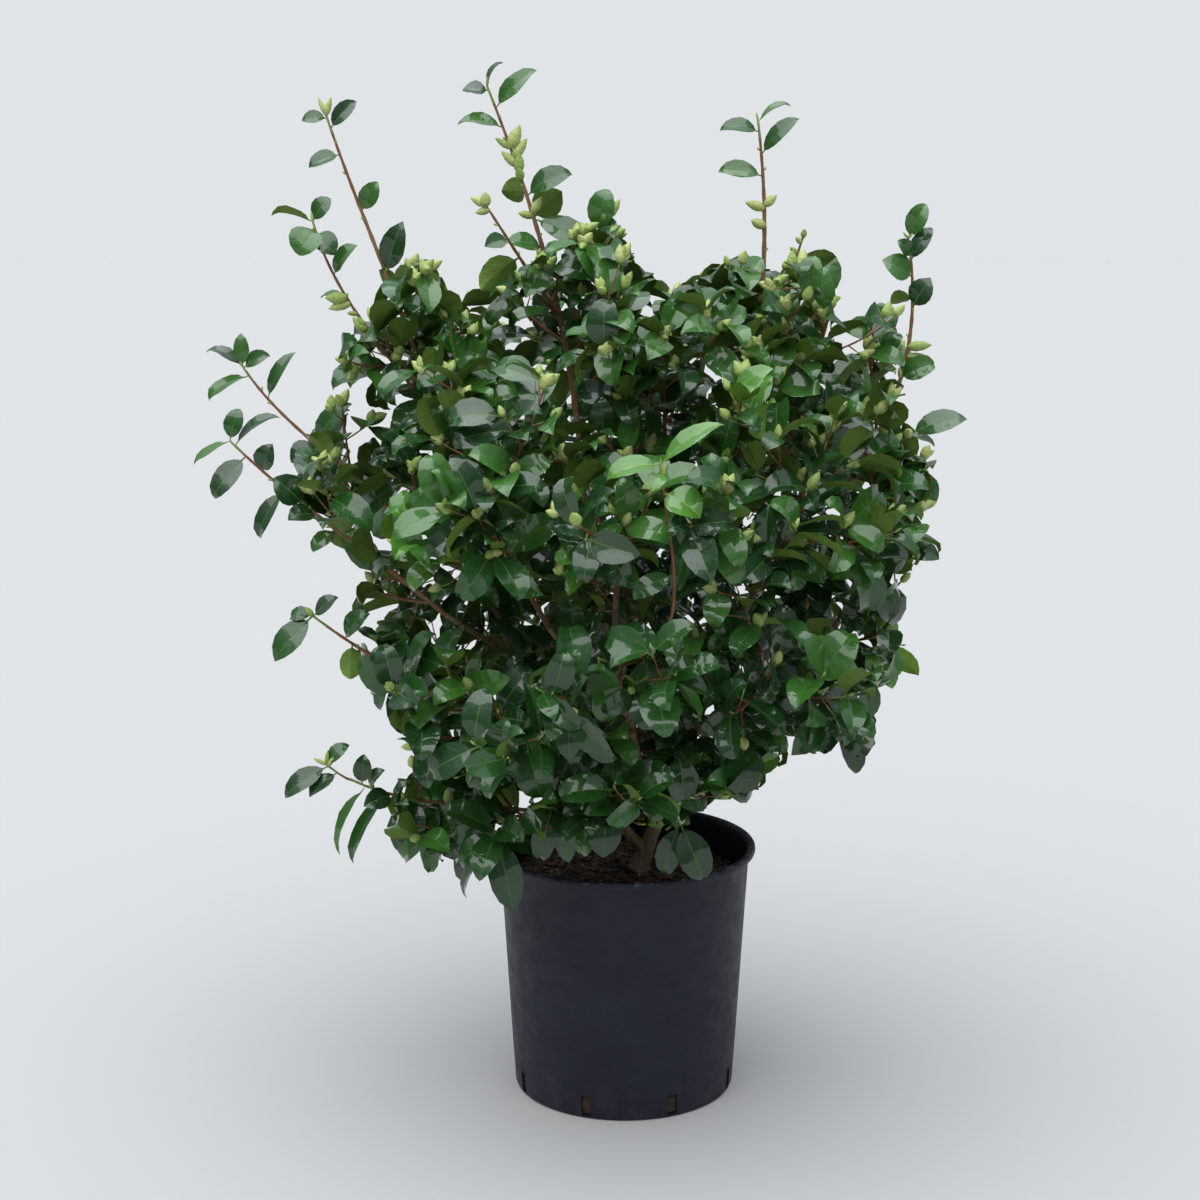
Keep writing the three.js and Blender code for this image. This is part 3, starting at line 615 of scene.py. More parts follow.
def carried_on(index, twig):
    """A side twig carried on past its solid's end and turned up at its tip"""
    root = twig.point(0)
    reach = twig.point(1) - root
    heading = unit(reach)
    for onward in TWIG_ONWARD:
        end = root + reach * onward + UP * np.linalg.norm(reach) * TWIG_RISE * onward
        longer = curved(root, heading, end, unit(heading + TWIG_TIP_LIFT * UP), twig.radii,
                        sides=5)
        if grows_clear(index, longer, TWIG_TESTED, SPACE_SLACK):
            break
    return longer


def fine_twigs(index, parent, draw):
    """Short twigs along a side twig, by turns on either side"""
    length = parent.length()
    made = []
    turn = 2 * math.pi * draw()
    for k in range(int(length / FINE_TWIG_GAP)):
        share = (k + FINE_TWIG_FIRST) * FINE_TWIG_GAP / length
        reach = within(FINE_TWIG_LENGTH, draw())
        spread = math.radians(within(FINE_TWIG_SPREAD, draw()))
        turn += math.radians(LEAF_TURN)
        if share > FINE_TWIG_LAST:
            continue
        root, along = parent.point(share), parent.tangent(share)
        for step in range(PLACE_TRIES):
            out = parent.spoke(share, turn + RETRY_TURN * step)
            leave = unit(along * math.cos(spread) + out * math.sin(spread) + FINE_TWIG_LIFT * UP)
            twig = curved(root, leave, root + leave * reach, unit(leave + FINE_TIP_LIFT * UP),
                          FINE_TWIG_RADII, sides=5)
            if grows_clear(index, twig, FINE_TWIG_TESTED, SPACE_SLACK):
                made.append(twig)
                break
    return made


def grow_mass(index):
    """Every rod of a mass with what it is"""
    mass = MASSES[index]
    draw = seeded(index + 1)
    rods = [{"rod": rod, "kind": "shoot", "mass": index} for rod in DRAWN[index]]
    twigs = []
    for order, shoot in enumerate(DRAWN[index]):
        bushy = FURTHER_BUSHY if order else mass["bushy"]
        count = max(1, math.floor(shoot.length() * bushy / TWIG_GAP + 0.5))
        for k in range(count):
            twig = side_twig(index, shoot, bushy * (k + 0.5) / count, k, draw)
            if twig and in_outline(twig.points(TICKS)).mean() > TWIG_IN_OUTLINE:
                twigs.append(twig)
    draw = seeded(FINE_TWIG_SEED + index)
    for twig in twigs:
        longer = carried_on(index, twig)
        rods.append({"rod": longer, "kind": "twig", "mass": index})
        rods += [{"rod": fine, "kind": "fine", "mass": index}
                 for fine in fine_twigs(index, longer, draw)]
    return rods


def grow_inner():
    """Short leafy twigs straight from the trunk, stems and boughs, which fill the crown's inside"""
    made = []
    for order, limb in enumerate(LIMBS.values()):
        draw = seeded(INNER_SEED + order)
        length = limb.length()
        turn = 2 * math.pi * draw()
        for k in range(int(length / INNER_TWIG_GAP)):
            share = (k + 0.3 + 0.5 * draw()) * INNER_TWIG_GAP / length
            turn += math.radians(LEAF_TURN)
            reach = within(INNER_TWIG_LENGTH, draw())
            root, along = limb.point(share), limb.tangent(share)
            index = int(mass_distances(root[None, :]).argmin())
            for step in range(PLACE_TRIES):
                leave = unit(limb.spoke(share, turn + RETRY_TURN * step) + INNER_ALONG * along)
                twig = curved(root, leave, root + leave * reach, unit(leave + FINE_TIP_LIFT * UP),
                              FINE_TWIG_RADII)
                if grows_clear(index, twig, INNER_TESTED, INNER_SLACK):
                    made.append({"rod": twig, "kind": "inner", "mass": index})
                    break
    return made


# A leaf's rows, from the foot of its stalk inside the twig to its tip, how wide the blade is
# there as a share of its full width, and how wide its rib is. Columns run across it.
LEAF_ROWS = (-0.13, 0.0, 0.08, 0.22, 0.4, 0.6, 0.78, 0.91, 1.0)
LEAF_OUTLINE = (0.055, 0.075, 0.46, 0.82, 1.0, 0.93, 0.66, 0.27, 0.02)
LEAF_COLUMNS = (-1.0, -0.55, -0.035, 0.035, 0.55, 1.0)
RIB_TAPER = (0.35, 0.8, 1.1, 1.0, 0.9, 0.75, 0.6, 0.45, 0.3)
STALK_ROWS = 1
BLADE_THICKNESS = 0.5
RIB_THICKNESS = 1.3
UNDERSIDE_PARKED = 9

# How a leaf bends: where along it the curl of its tip begins, how much its fold eases toward the
# edge, how fast its edge waves along it, and how far the wave of one edge is behind the other's
CURL_FROM = 0.62
FOLD_EASING = 0.35
EDGE_WAVES = 7.5
WAVE_LAG = 1.9

# The sides of a leaf, how near the midline the middle of a face of its rib is, and its tones
UPPER, UNDER, RIB = 0, 1, 2
RIB_REACH = 0.03
TONES = ("dark", "deep", "mid", "young")


def only_selected(piece):
    """Make a piece the only one selected, and the active one"""
    bpy.ops.object.select_all(action="DESELECT")
    piece.select_set(True)
    bpy.context.view_layer.objects.active = piece


def pick(piece, wanted):
    """In edit mode, select just the vertices whose place passes a test"""
    bpy.ops.object.mode_set(mode="OBJECT")
    mesh = piece.data
    mesh.edges.foreach_set("select", [False] * len(mesh.edges))
    mesh.polygons.foreach_set("select", [False] * len(mesh.polygons))
    mesh.vertices.foreach_set("select", [bool(wanted(vertex.co)) for vertex in mesh.vertices])
    bpy.ops.object.mode_set(mode="EDIT")
    bpy.ops.mesh.select_mode(type="VERT")


def model_leaf():
    """One flat leaf and its stalk, 1 long and 2 wide, with its thickness in millimetres: a grid
    whose rows are drawn in to the outline, and an underside that hangs lower under the rib. What
    has been placed is lifted by 1, so that it is not picked again."""
    rows, columns = len(LEAF_ROWS) - 1, len(LEAF_COLUMNS) - 1
    bpy.ops.object.select_all(action="DESELECT")
    bpy.ops.mesh.primitive_grid_add(x_subdivisions=columns, y_subdivisions=rows, size=2)
    leaf = bpy.context.object
    leaf.name = "leaf_form"
    for k, across in enumerate(LEAF_COLUMNS):
        at = -1 + 2 * k / columns
        pick(leaf, lambda co: abs(co.x - at) < 0.01 and abs(co.z) < 0.5)
        bpy.ops.transform.translate(value=(across - at, 0, 1))
    for k, along in enumerate(LEAF_ROWS):
        at = -1 + 2 * k / rows
        for rib, wide in ((False, LEAF_OUTLINE[k]), (True, RIB_TAPER[k])):
            pick(leaf, lambda co: (abs(co.y - at) < 0.01 and 0.5 < co.z < 1.5
                                   and (abs(co.x) < 0.1) == rib))
            bpy.ops.transform.resize(value=(wide, 1, 1), center_override=(0, at, 1))
            bpy.ops.transform.translate(value=(0, along - at, 1))
    bpy.ops.mesh.select_all(action="SELECT")
    bpy.ops.transform.translate(value=(0, 0, -2))
    bpy.ops.mesh.duplicate()
    bpy.ops.mesh.flip_normals()
    bpy.ops.transform.translate(value=(0, 0, -UNDERSIDE_PARKED))
    first, last = LEAF_ROWS[0] + 0.01, LEAF_ROWS[-1] - 0.01

    def parked(co):
        return co.z < -UNDERSIDE_PARKED / 2

    def inner(co, rib):
        width = LEAF_OUTLINE[min(range(rows + 1), key=lambda k: abs(LEAF_ROWS[k] - co.y))]
        on_rib = abs(co.x) < 0.05 and abs(co.x) < 0.9 * width
        return parked(co) and first < co.y < last and abs(co.x) < 0.9 * width and on_rib == rib

    for rib, thickness in ((True, RIB_THICKNESS), (False, BLADE_THICKNESS)):
        pick(leaf, lambda co: inner(co, rib))
        bpy.ops.transform.translate(value=(0, 0, UNDERSIDE_PARKED - thickness))
    pick(leaf, parked)
    bpy.ops.transform.translate(value=(0, 0, UNDERSIDE_PARKED))
    bpy.ops.mesh.select_all(action="SELECT")
    bpy.ops.mesh.remove_doubles(threshold=0.002)
    bpy.ops.object.mode_set(mode="OBJECT")
    return leaf


def mesh_arrays(piece):
    """A modelled form as arrays, its vertices and its faces, and the form itself removed"""
    mesh = piece.data
    places = np.empty(len(mesh.vertices) * 3)
    mesh.vertices.foreach_get("co", places)
    faces = [tuple(face.vertices) for face in mesh.polygons]
    bpy.data.objects.remove(piece)
    bpy.data.meshes.remove(mesh)
    return places.reshape(-1, 3), faces


def leaf_sides(places, faces):
    """Which side of a leaf each face is on: its upper blade, its underside, or its rib and stalk"""
    sides = []
    for face in faces:
        corners = places[list(face)]
        middle = corners.mean(axis=0)
        across = np.cross(corners[1] - corners[0], corners[2] - corners[1])
        if abs(middle[0]) < RIB_REACH or middle[1] < LEAF_ROWS[STALK_ROWS] - 0.001:
            sides.append(RIB)
        else:
            sides.append(UPPER if across[2] > 0 else UNDER)
    return np.array(sides)


def bent_leaves(flat, leaves):
    """The flat leaf form bent, folded, waved and turned into the place of every leaf"""
    value = {key: np.array([leaf[key] for leaf in leaves]) for key in leaves[0]}
    along = flat[:, 1]
    rows = np.array(LEAF_ROWS)
    row = np.abs(along[:, None] - rows).argmin(axis=1)
    blade = np.clip(rows, 0, 1)
    middle = (blade[1:] + blade[:-1]) / 2
    angle = (value["arch"][:, None] * (0.5 - middle) - value["curl"][:, None]
             * np.clip((middle - CURL_FROM) / (1 - CURL_FROM), 0, 1) ** 2)
    pieces = np.diff(rows) * value["length"][:, None]
    foot = np.zeros((len(leaves), 1))
    forward = np.concatenate([foot, np.cumsum(pieces * np.cos(angle), axis=1)], axis=1)
    above = np.concatenate([foot, np.cumsum(pieces * np.sin(angle), axis=1)], axis=1)
    tilt = np.concatenate([angle[:, :1], (angle[:, 1:] + angle[:, :-1]) / 2, angle[:, -1:]],
                          axis=1)
    across = flat[None, :, 0] * (value["width"] / 2)[:, None]
    outward = np.abs(flat[None, :, 0])
    wave = (value["wave"][:, None] * outward ** 2
            * np.sin(along[None, :] * EDGE_WAVES + value["phase"][:, None]
                     + (flat[:, 0] > 0) * WAVE_LAG))
    rise = (value["fold"][:, None] * np.abs(across) * (1 - FOLD_EASING * outward) + wave
            + flat[None, :, 2])
    twist = value["twist"][:, None] * np.clip(along, 0, 1)[None, :]
    across, rise = (across * np.cos(twist) - rise * np.sin(twist),
                    across * np.sin(twist) + rise * np.cos(twist))
    ahead = forward[:, row] - rise * np.sin(tilt[:, row])
    up = above[:, row] + rise * np.cos(tilt[:, row])
    return (value["root"][:, None, :] + ahead[..., None] * value["ahead"][:, None, :]
            + across[..., None] * value["side"][:, None, :]
            + up[..., None] * value["face"][:, None, :])


# Places over a leaf, along and across it, that stand for it when leaves are kept apart, and which
# of them have to lie in the mass's space: those at its widest and at its tip
LEAF_PROBES = np.array([(along, across * wide) for along, wide in
                        ((0.28, 0.75), (0.5, 1.0), (0.68, 1.0), (0.82, 0.75))
                        for across in (-0.8, 0, 0.8)] + [(0.97, 0)])
SPACE_PROBES = (3, 5, 12)


class Room:
    """The places already taken by leaves, twigs and buds, in millimetres"""

    def __init__(self):
        self.taken = np.empty((ROOM_PLACES, 3), np.float32)
        self.count = 0

    def take(self, points):
        """Note places as taken"""
        self.taken[self.count:self.count + len(points)] = points
        self.count += len(points)

    def least(self, points, limit):
        """How near each set of points comes to a taken place, at most the limit"""
        flat = points.reshape(-1, 3)
        low, high = flat.min(axis=0) - limit, flat.max(axis=0) + limit
        taken = self.taken[:self.count]
        near = taken[((taken > low) & (taken < high)).all(axis=1)]
        if not len(near):
            return np.full(len(points), limit)
        gaps = np.linalg.norm(flat[:, None, :] - near, axis=-1).min(axis=1)
        return np.minimum(gaps.reshape(points.shape[:2]).min(axis=1), limit)


def try_leaf(rod, share, turn, droop, small, draw):
    """One way that a leaf could stand at a place on its twig"""
    spread = math.radians(within(LEAF_SPREAD, draw()))
    out = rod.spoke(share, turn + LEAF_TURN_SPREAD * (draw() - 0.5))
    along = rod.tangent(share)
    ahead = unit(along * math.cos(spread) + out * math.sin(spread) - UP * droop)
    root = rod.point(share)
    face = unit(root - CROWN_HEART) + UP * FACE_UP + along * FACE_ALONG
    face = turned(unit(face - ahead * face.dot(ahead)), ahead, FACE_ROLL * (draw() - 0.5))
    length = within(LEAF_LENGTHS, draw()) * small
    return {
        "root": root + out * within(rod.radii, share) * 0.5,
        "ahead": ahead, "side": np.cross(ahead, face), "face": face,
        "length": length, "width": length * within(LEAF_WIDTHS, draw()),
        "arch": math.radians(within(LEAF_ARCH, draw())),
        "curl": math.radians(within(LEAF_CURL, draw())),
        "fold": math.tan(math.radians(within(LEAF_FOLD, draw()))),
        "twist": LEAF_TWIST * (draw() - 0.5),
        "wave": within(LEAF_WAVE, draw()), "phase": ANY_TURN * draw(),
    }


def probes(leaf):
    """The leaf's probe places, roughly on its bent blade"""
    s, w = LEAF_PROBES.T
    bulge = leaf["length"] * (0.5 * leaf["arch"] * s * (1 - s)
                              - 0.25 * leaf["curl"] * np.clip(s - 0.7, 0, 1))
    rise = bulge + leaf["fold"] * np.abs(w) * leaf["width"] / 2 * 0.7
    ahead = (s - LEAF_ROWS[0]) * leaf["length"]
    return (leaf["root"] + np.outer(ahead, leaf["ahead"])
            + np.outer(w * leaf["width"] / 2, leaf["side"]) + np.outer(rise, leaf["face"]))


def leaf_size(from_tip):
    """How large a leaf grows: smaller at a tip"""
    return within(TIP_LEAF_SIZES, min(from_tip / TIP_LEAVES_GROWN, 1))


def hang_leaf(spray, room, from_tip, turn):
    """Hang the roomiest of several leaves at a place, if one fits the mass's space"""
    index, rod, draw = spray["mass"], spray["rod"], spray["draw"]
    share = 1 - from_tip / rod.length()
    small = leaf_size(from_tip)
    slack = INNER_SLACK if spray["kind"] == "inner" else SPACE_SLACK
    droop = within((LEAF_DROOP[1], LEAF_DROOP[0]), climbed(rod.point(share), *DROOP_RISE))
    tries = [try_leaf(rod, share, turn, droop + DROOP_SPREAD * (draw() - 0.5), small, draw)
             for _ in range(LEAF_TRIES)]
    places = np.array([probes(leaf) for leaf in tries])
    spots = places[:, SPACE_PROBES].reshape(-1, 3)
    shown = in_outline(places.reshape(-1, 3)).reshape(LEAF_TRIES, -1).mean(axis=1)
    inside = in_space(index, spots, LEAF_MARGIN, slack).reshape(LEAF_TRIES, -1).all(axis=1)
    inside &= (shown > LEAF_IN_OUTLINE) & in_box(places).all(axis=1)
    score = np.where(inside, room.least(places, ROOM_SEARCHED), -1)
    best = int(score.argmax())
    if score[best] < LEAF_ROOM:
        return
    leaf = tries[best]
    leaf["tone"], leaf["mass"] = spray["tone"], index
    spray["leaves"].append(leaf)
    room.take(places[best])


# The buds at the tips: the share of tips that flower low and high in the crown, how many more
# than one a cluster may get, how far its buds lean apart in degrees (least, more) or one alone in
# radians, both kinds' lengths and their widths as a share of these, and the shares of a bud's
# length that take up room
FLOWERING = (0.12, 1.0)
CLUSTER_MORE = 3.8
CLUSTER_LEAN = (14, 30)
LONE_LEAN = 0.12
BUD_LENGTHS = (17, 26)
FLOWER_BUD_WIDTHS = (0.56, 0.68)
LEAF_BUD_LENGTHS = (8, 12)
LEAF_BUD_WIDTH = 0.34
BUD_PROBES = np.array([[0.35], [0.75]])


def add_buds(room, rod, draw, buds, height):
    """A leaf bud at a rod's tip, or in the upper crown a cluster of flower buds"""
    tip, along = rod.point(1), rod.tangent(1)
    flowering = draw() < within(FLOWERING, height)
    count = 1 + int(CLUSTER_MORE * draw() * height) if flowering else 1
    for k in range(count):
        lean = (math.radians(CLUSTER_LEAN[0] + CLUSTER_LEAN[1] * draw()) if count > 1
                else LONE_LEAN * draw())
        axis = turned(along, unit(np.cross(along, EAST)), lean)
        axis = unit(turned(axis, along, ANY_TURN * (k + 0.4 * draw()) / count))
        length = within(BUD_LENGTHS if flowering else LEAF_BUD_LENGTHS, draw())
        wide = length * (within(FLOWER_BUD_WIDTHS, draw()) if flowering else LEAF_BUD_WIDTH)
        root = tip - along * (1.5 + 3 * (k % 3)) * (count > 1) - axis * 1.0
        buds.append({"root": root, "axis": axis, "length": length, "width": wide,
                     "turn": ANY_TURN * draw(), "tone": int(2 * draw())})
        room.take(root + axis * length * BUD_PROBES)


def tone_of(place, draw):
    """The tone of a spray's leaves: bright where the photo shows young ones, and elsewhere
    lighter up the crown as painted light and darker low in it as painted shade
    """
    for centre, radius in YOUNG_SPRAYS:
        if np.linalg.norm(place - np.array(centre)) < radius:
            return TONES.index("young")
    # Painted light and shade: lighter tones more often up the crown, darker ones low in it
    painted_light = PAINTED_LIGHT_LIFT * climbed(place, *PAINTED_LIGHT_RISE, -0.5)
    dark, deep, mid = TONE_SHARES
    return int(np.searchsorted((dark - painted_light, deep - painted_light, mid), draw()))


# Sprays that stand out in the photo: the mass, order and share of the shoot that each leaves, its
# end as the photo shows it (pixels and depth), its heading at either end and its radii
SEEN_SPRAYS = {
    "front": (("front_centre_lower", 0, 0.97), (660, 464, -415), (1.05, -0.2, 0.35),
              (-0.18, 0, 1.4), (2.6, 1.5)),
    "front_left": (("front_centre_lower", 0, 0.95), (598, 658, -378), (-0.8, -0.3, 0.1),
                   (-0.9, -0.2, 0.3), (1.6, 1.3)),
    "skirt_tip": (("skirt_left", 0, 0.97), (324, 763, -204), (-0.9, -0.1, 0.2), (-0.8, 0, 0.6),
                  (1.7, 1.3)),
    "top_centre": (("top_centre_leader", 0, 0.43), (608, 217, -20), (0.9, -0.1, 0.45),
                   (0.45, 0, 0.9), (2.0, 1.3)),
    "right_twig": (("right_leader", 0, 0.3), (880, 325, -35), (-0.6, -0.2, 0.8), (0.1, 0, 1),
                   (1.8, 1.3)),
    "right_high": (("right_upper", 0, 0.96), (909, 434, -75), (0.7, -0.2, 0.6), (0.7, 0, 0.7),
                   (1.7, 1.3)),
    "right_bud": (("right_upper", 0, 0.76), (904, 477, -80), (0.8, -0.2, 0.5), (0.9, 0, 0.3),
                  (1.7, 1.3)),
    "right_middle": (("right_middle", 0, 0.93), (887, 549, -80), (0.8, -0.1, 0.4),
                     (0.7, 0, 0.6), (1.7, 1.3)),
    "right_low": (("right_lower", 0, 0.97), (874, 652, -70), (0.6, -0.1, 0.8), (0.7, 0, 0.5),
                  (1.7, 1.3)),
    "right_hang": (("right_lower", 0, 0.8), (843, 706, -95), (0.9, -0.4, 0.1), (0.9, 0, -0.1),
                   (1.6, 1.3)),
    "left_hang": (("front_left_lower", 0, 0.9), (527, 744, -285), (0.6, -0.4, -0.3),
                  (0.2, -0.4, -0.5), (1.7, 1.3)),
    "skirt_right": (("skirt_right", 0, 0.96), (744, 734, -265), (0.3, -0.2, 0.8),
                    (0.3, -0.2, 0.8), (1.6, 1.3)),
    "pot_right": (("skirt_right", 0, 0.25), (680, 823, -215), (-0.3, -0.7, 0.2),
                  (-0.3, -0.8, 0.1), (1.7, 1.3)),
    "pot_left": (("skirt_front", 0, 0.3), (552, 801, -245), (-0.9, -0.3, 0.4),
                 (-0.9, -0.2, 0.1), (1.6, 1.3)),
    "pot_front": (("skirt_front", 0, 0.5), (608, 806, -262), (0.2, -0.7, 0.2), (0.1, -0.7, 0.5),
                  (1.6, 1.3)),
}

# Leaves that stand out in the photo, by the shoot that carries them: where each joins it, where
# its tip is and how wide it is, in the photo's pixels, how much of its upper face it shows (of
# its underside, below zero) and how far its tip stands out to the front
SEEN_LEAVES = {
    ("top_left_leader", 0): (
        (326, 118, 302, 121, 16, 0.6, 0), (333, 129, 357, 101, 18, 0.7, -8),
        (336, 156, 309, 168, 20, 0.6, 10), (362, 212, 378, 181, 20, 0.9, 8),
        (391, 272, 403, 222, 27, 0.7, 10), (397, 292, 379, 268, 18, -0.4, 5),
        (399, 300, 425, 262, 14, 0.3, 10), (400, 300, 422, 281, 24, -0.5, -10),
        (401, 305, 446, 288, 18, 0.4, 15)),
    ("top_left_leader", 1): (
        (312, 220, 271, 213, 20, -0.3, 0), (313, 222, 331, 196, 20, 0.7, -5),
        (316, 228, 298, 257, 34, 0.8, 25), (318, 232, 335, 256, 24, 0.7, 15),
        (334, 276, 359, 243, 19, 0.6, 10), (345, 300, 320, 297, 16, 0.2, -15),
        (371, 350, 382, 318, 13, 0.4, 0)),
    ("left_upper", 0): (
        (243, 367, 203, 350, 18, 0.4, 0), (243, 367, 241, 333, 16, 0.8, -5),
        (244, 368, 270, 355, 18, 0.6, 12), (249, 377, 207, 401, 18, 0.4, 10),
        (271, 396, 297, 351, 17, 0.5, -5), (318, 440, 352, 402, 26, 0.6, 15),
        (322, 446, 290, 462, 30, 0.7, 15), (345, 465, 308, 496, 22, 0.5, 20)),
    ("left_middle", 0): (
        (230, 441, 194, 464, 18, 0.3, 8), (230, 441, 240, 406, 20, 0.8, -8),
        (234, 446, 281, 416, 20, 0.4, 5), (244, 458, 212, 500, 27, 0.7, 20),
        (262, 473, 273, 443, 24, 0.6, 5), (306, 499, 273, 478, 32, 0.7, 15),
        (285, 490, 259, 541, 22, 0.4, 5), (322, 507, 287, 521, 24, 0.6, 25),
        (348, 518, 311, 552, 22, 0.4, 15)),
    ("left_lower", 0): (
        (313, 616, 275, 661, 30, 0.6, 12), (313, 616, 289, 618, 18, 0.6, -12),
        (314, 617, 338, 597, 22, 0.5, 5), (345, 640, 371, 612, 24, 0.5, 10),
        (352, 644, 350, 680, 24, -0.5, 20), (392, 664, 380, 713, 17, 0.3, 5),
        (404, 668, 401, 735, 30, 0.5, 20)),
    "skirt_tip": (
        (328, 767, 284, 799, 24, 0.6, 12), (326, 765, 351, 743, 18, 0.6, -5),
        (338, 772, 310, 797, 20, 0.4, 25)),
    ("skirt_left", 0): (
        (362, 784, 364, 754, 20, 0.6, 0), (370, 788, 386, 769, 17, 0.5, 10),
        (392, 795, 364, 806, 24, 0.8, 30), (366, 786, 340, 855, 19, 0.1, 5),
        (388, 794, 352, 863, 21, 0.15, 20), (400, 797, 421, 838, 28, 0.6, 25),
        (440, 803, 458, 843, 44, 0.85, 55), (412, 800, 396, 852, 22, 0.5, 35),
        (425, 802, 431, 877, 22, 0.3, 5)),
    ("skirt_left", 1): (
        (497, 832, 513, 911, 36, 0.8, 10), (503, 832, 544, 852, 34, 0.7, 15),
        (496, 832, 459, 868, 28, 0.6, 5), (499, 832, 465, 899, 20, 0.3, -20)),
    ("top_centre_leader", 0): (
        (487, 92, 462, 91, 20, 0.6, 5), (487, 86, 504, 61, 12, 0.2, 0),
        (499, 108, 537, 69, 20, 0.6, 0), (502, 129, 456, 125, 20, 0.5, 5),
        (524, 193, 500, 191, 26, -0.8, -15), (530, 196, 575, 173, 26, 0.6, 5),
        (536, 218, 562, 191, 32, -0.7, -10), (537, 218, 590, 250, 30, 0.6, 20),
        (541, 250, 505, 243, 24, 0.6, 20)),
    ("top_centre_leader", 1): (
        (503, 243, 484, 247, 18, 0.8, 15), (517, 259, 480, 291, 32, -0.7, 0),
        (533, 272, 489, 297, 17, 0.3, 10)),
    "top_centre": (
        (597, 232, 608, 186, 28, 0.6, 0), (600, 230, 619, 229, 22, 0.7, 20),
        (585, 240, 566, 262, 24, 0.6, 25)),
    ("right_centre_leader", 0): (
        (758, 133, 717, 131, 20, 0.6, 5), (758, 121, 792, 104, 15, 0.25, 0),
        (765, 155, 801, 117, 18, 0.6, 5), (762, 177, 718, 171, 21, 0.6, 0)),
    ("right_centre_leader", 1): ((786, 280, 837, 254, 28, -0.5, 0),),
    ("right_centre_leader", 2): (
        (720, 278, 763, 268, 30, 0.6, 15), (720, 280, 698, 297, 22, 0.6, 10)),
    ("right_leader", 0): (
        (908, 238, 927, 202, 21, 0.7, 0), (911, 262, 934, 227, 18, 0.5, -8),
        (910, 278, 882, 260, 28, 0.8, 10), (909, 256, 897, 240, 16, 0.7, 10),
        (911, 308, 930, 278, 26, 0.7, 5), (911, 298, 889, 304, 22, -0.5, -5),
        (906, 380, 938, 364, 26, 0.7, 5), (900, 396, 850, 416, 18, 0.2, 20)),
    "right_twig": (
        (880, 327, 881, 302, 24, 0.6, 5), (879, 330, 845, 331, 26, 0.7, 10),
        (873, 350, 905, 350, 18, 0.3, 10)),
    "right_high": ((909, 434, 967, 418, 30, 0.6, 0), (908, 435, 935, 446, 18, 0.3, 8)),
    "right_bud": (
        (904, 477, 938, 502, 30, 0.8, 12), (904, 477, 925, 457, 24, 0.6, -10),
        (890, 481, 917, 518, 22, 0.3, 0)),
    "right_middle": (
        (887, 549, 941, 559, 28, 0.6, 0), (885, 550, 899, 514, 32, 0.8, 15),
        (886, 550, 912, 571, 16, 0.3, -10)),
    "right_low": ((874, 652, 920, 675, 28, -0.6, 0), (870, 656, 893, 690, 24, 0.4, 15)),
    "right_hang": ((843, 706, 857, 775, 27, 0.6, 5), (836, 705, 822, 755, 27, 0.6, 12)),
    "left_hang": (
        (527, 744, 541, 802, 40, 0.85, 12), (526, 742, 494, 768, 32, 0.6, 10),
        (524, 738, 562, 758, 30, 0.5, 5), (516, 728, 512, 778, 32, 0.7, -10)),
    "skirt_right": (
        (744, 736, 740, 797, 46, 0.9, 10), (744, 736, 790, 752, 30, 0.5, -10),
        (742, 740, 715, 765, 28, 0.5, 15)),
    "pot_right": ((680, 823, 704, 882, 36, 0.8, 8), (679, 822, 663, 876, 28, 0.6, -5)),
    "pot_left": (
        (552, 801, 540, 864, 27, 0.8, 8), (554, 801, 569, 862, 25, 0.7, 0),
        (556, 802, 521, 836, 28, 0.6, 15)),
    "pot_front": ((606, 806, 603, 857, 36, 0.85, 12), (606, 805, 580, 860, 28, 0.5, -5)),
    "front": (
        (661, 466, 605, 482, 28, 0.5, 12), (661, 466, 726, 424, 24, 0.5, 0),
        (663, 494, 701, 519, 40, 0.6, 25), (662, 474, 652, 491, 20, 0.7, 25),
        (665, 548, 641, 520, 26, 0.8, -10), (673, 598, 691, 541, 22, 0.5, -15),
        (674, 602, 706, 590, 16, 0.4, 15), (668, 576, 631, 601, 24, 0.6, 15),
        (646, 650, 641, 713, 36, 0.9, 5)),
    "front_left": ((598, 658, 609, 724, 38, 0.9, 5),),
}

